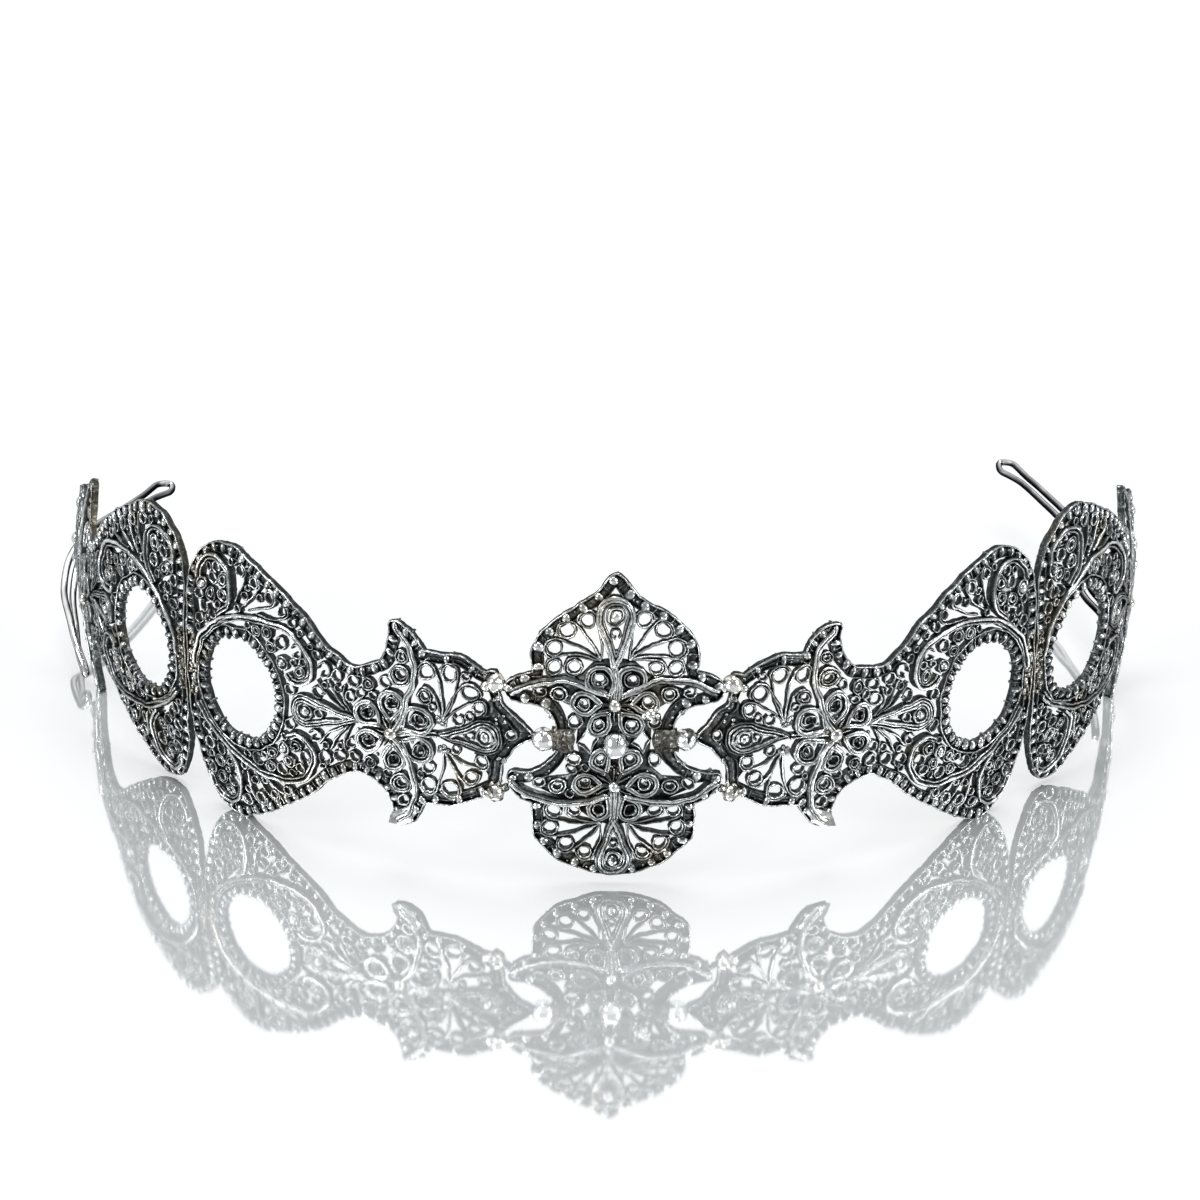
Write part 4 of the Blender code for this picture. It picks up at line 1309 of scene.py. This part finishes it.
def oxidised_silver():
    """Silver blackened in its hollows and rubbed bright on the tops of the wires."""
    material, shader = shaded("oxidised silver", 0.3)
    tree = material.node_tree
    worn = attribute(tree, "rubbed_and_sheen")
    grain = combined(tree, "ADD", noise(tree, 900.0, 3.0), noise(tree, 2800.0, 1.0))
    rubbed_and_sheen = patchy(tree, worn, grain, 1.0, 0.95)
    stain = between(tree, noise(tree, 130.0, 2.0), 0.56, 0.72)
    solder = combined(tree, "MULTIPLY", attribute(tree, "browned"), 0.85)
    colour = from_node(tree, "MixRGB", "Color", {"Fac": combined(tree, "ADD", stain, solder),
                                                 "Color1": ramp(tree, rubbed_and_sheen, COOL_SILVER),
                                                 "Color2": ramp(tree, rubbed_and_sheen, BROWNED_SILVER)})
    roughness = ramp(tree, rubbed_and_sheen, [(0.0, (0.42,) * 3), (0.8, (0.2,) * 3)])
    join(tree, shader, {"Base Color": colour, "Roughness": roughness})
    unpolished = between(tree, worn, 1.2, 0.95)
    pits = combined(tree, "MULTIPLY", noise(tree, 2200.0, 3.0), unpolished)
    bump(tree, shader, pits, 0.6, 0.00009)
    return material


def wire_silver():
    """Polished drawn wire with faint tarnish, coloured dark to bright by its painted sheen and shade."""
    material, shader = shaded("silver wire", 0.16)
    tree = material.node_tree
    # The painted sheen and shade, with faint tarnish in patches
    rubbed_and_sheen = patchy(tree, attribute(tree, "rubbed_and_sheen"), noise(tree, 260.0, 3.0), 0.5, 0.5)
    join(tree, shader, {"Base Color": ramp(tree, rubbed_and_sheen, WIRE_SILVER)})
    bump(tree, shader, noise(tree, 1500.0, 2.0), 0.12, 0.00005)
    return material


# The stage

CAMERA_FROM_FRONT = Vector((-6.1025, -228.0066, 153.175))
CAMERA_PITCH = 63.18
CAMERA_HEADING = -1.048
CAMERA_ROLL = 0.779
CAMERA_LENS = 67.66


def add_camera():
    """The camera at the photograph's viewpoint."""
    data = bpy.data.cameras.new("camera")
    data.lens = CAMERA_LENS
    data.sensor_width = 36.0
    data.clip_start = 0.01
    camera = placed("camera", data)
    heading = Matrix.Rotation(math.radians(CAMERA_HEADING), 4, "Z")
    pitch = Matrix.Rotation(math.radians(CAMERA_PITCH), 4, "X")
    roll = Matrix.Rotation(math.radians(CAMERA_ROLL), 4, "Z")
    place = Matrix.Translation((BAND_FRONT + CAMERA_FROM_FRONT) * MM)
    camera.matrix_world = place @ heading @ pitch @ roll
    bpy.context.scene.camera = camera


def add_floor():
    """A plain white floor with a faint gloss."""
    data = bpy.data.meshes.new("floor")
    sheet = bmesh.new()
    bmesh.ops.create_grid(sheet, x_segments=1, y_segments=1, size=3.0)
    sheet.to_mesh(data)
    sheet.free()
    floor = placed("floor", data)
    material = bpy.data.materials.new("white floor")
    material.use_nodes = True
    shader = material.node_tree.nodes["Principled BSDF"]
    join(material.node_tree, shader, {"Base Color": (0.505, 0.528, 0.532, 1.0), "Roughness": 0.05,
                                      "IOR": 7.0})
    data.materials.append(material)


def add_light(name, direction, spread, strength):
    """A large soft light far away in a direction, which lights the floor evenly."""
    data = bpy.data.lights.new(name, "SUN")
    data.angle = math.radians(spread)
    data.energy = strength
    light = placed(name, data)
    light.rotation_euler = Vector(direction).to_track_quat("Z", "Y").to_euler()


def add_studio():
    """A studio that is white behind the tiara and dim elsewhere, which gives the metal its darks."""
    world = bpy.data.worlds.new("studio")
    world.use_nodes = True
    tree = world.node_tree
    direction = from_node(tree, "TexCoord", "Generated", {})
    backward = from_node(tree, "SeparateXYZ", "Y", {"Vector": direction})
    colour = ramp(tree, backward, [(0.1, (0.32, 0.33, 0.35)), (0.5, (1.0, 1.0, 1.0))])
    join(tree, tree.nodes["Background"], {"Color": colour})
    bpy.context.scene.world = world


def add_lights():
    """Three soft lights."""
    add_light("top light", (0.0, 0.1, 0.6), 44, 3.6)
    add_light("left light", (-0.5, -0.35, 0.35), 24, 1.5)
    add_light("right light", (0.5, -0.3, 0.3), 24, 1.3)
    bpy.context.scene.view_settings.view_transform = "Standard"


def build():
    """Make the tiara and its stage."""
    seed_set(NOISE_SEED)
    silver = oxidised_silver()
    wire = wire_silver()
    centre = flat_metal(centre_wirework())
    bent_panel("centre_filigree", centre, on_band, False, "centre_panel", silver)
    centre.free()
    layout = wing_wirework()
    wing = flat_metal(layout)
    inner = with_solder(wing, joint_solder(layout.outline))
    bent_panel("inner_filigree_right", inner, inner_place(1), False, "inner_panel_right", silver)
    bent_panel("inner_filigree_left", inner, inner_place(-1), True, "inner_panel_left", silver)
    inner.free()
    outer = with_solder(wing, fan_end_solder(layout.outline))
    bent_panel("outer_filigree_right", outer, outer_place(1), True, "outer_panel_right", silver)
    bent_panel("outer_filigree_left", outer, outer_place(-1), False, "outer_panel_left", silver)
    outer.free()
    wing.free()
    end_wire("hairpin_right", 1, RIGHT_ARM, "end_wire_right", wire)
    end_wire("hairpin_left", -1, LEFT_ARM, "end_wire_left", wire)
    add_camera()
    add_floor()
    add_studio()
    add_lights()


build()
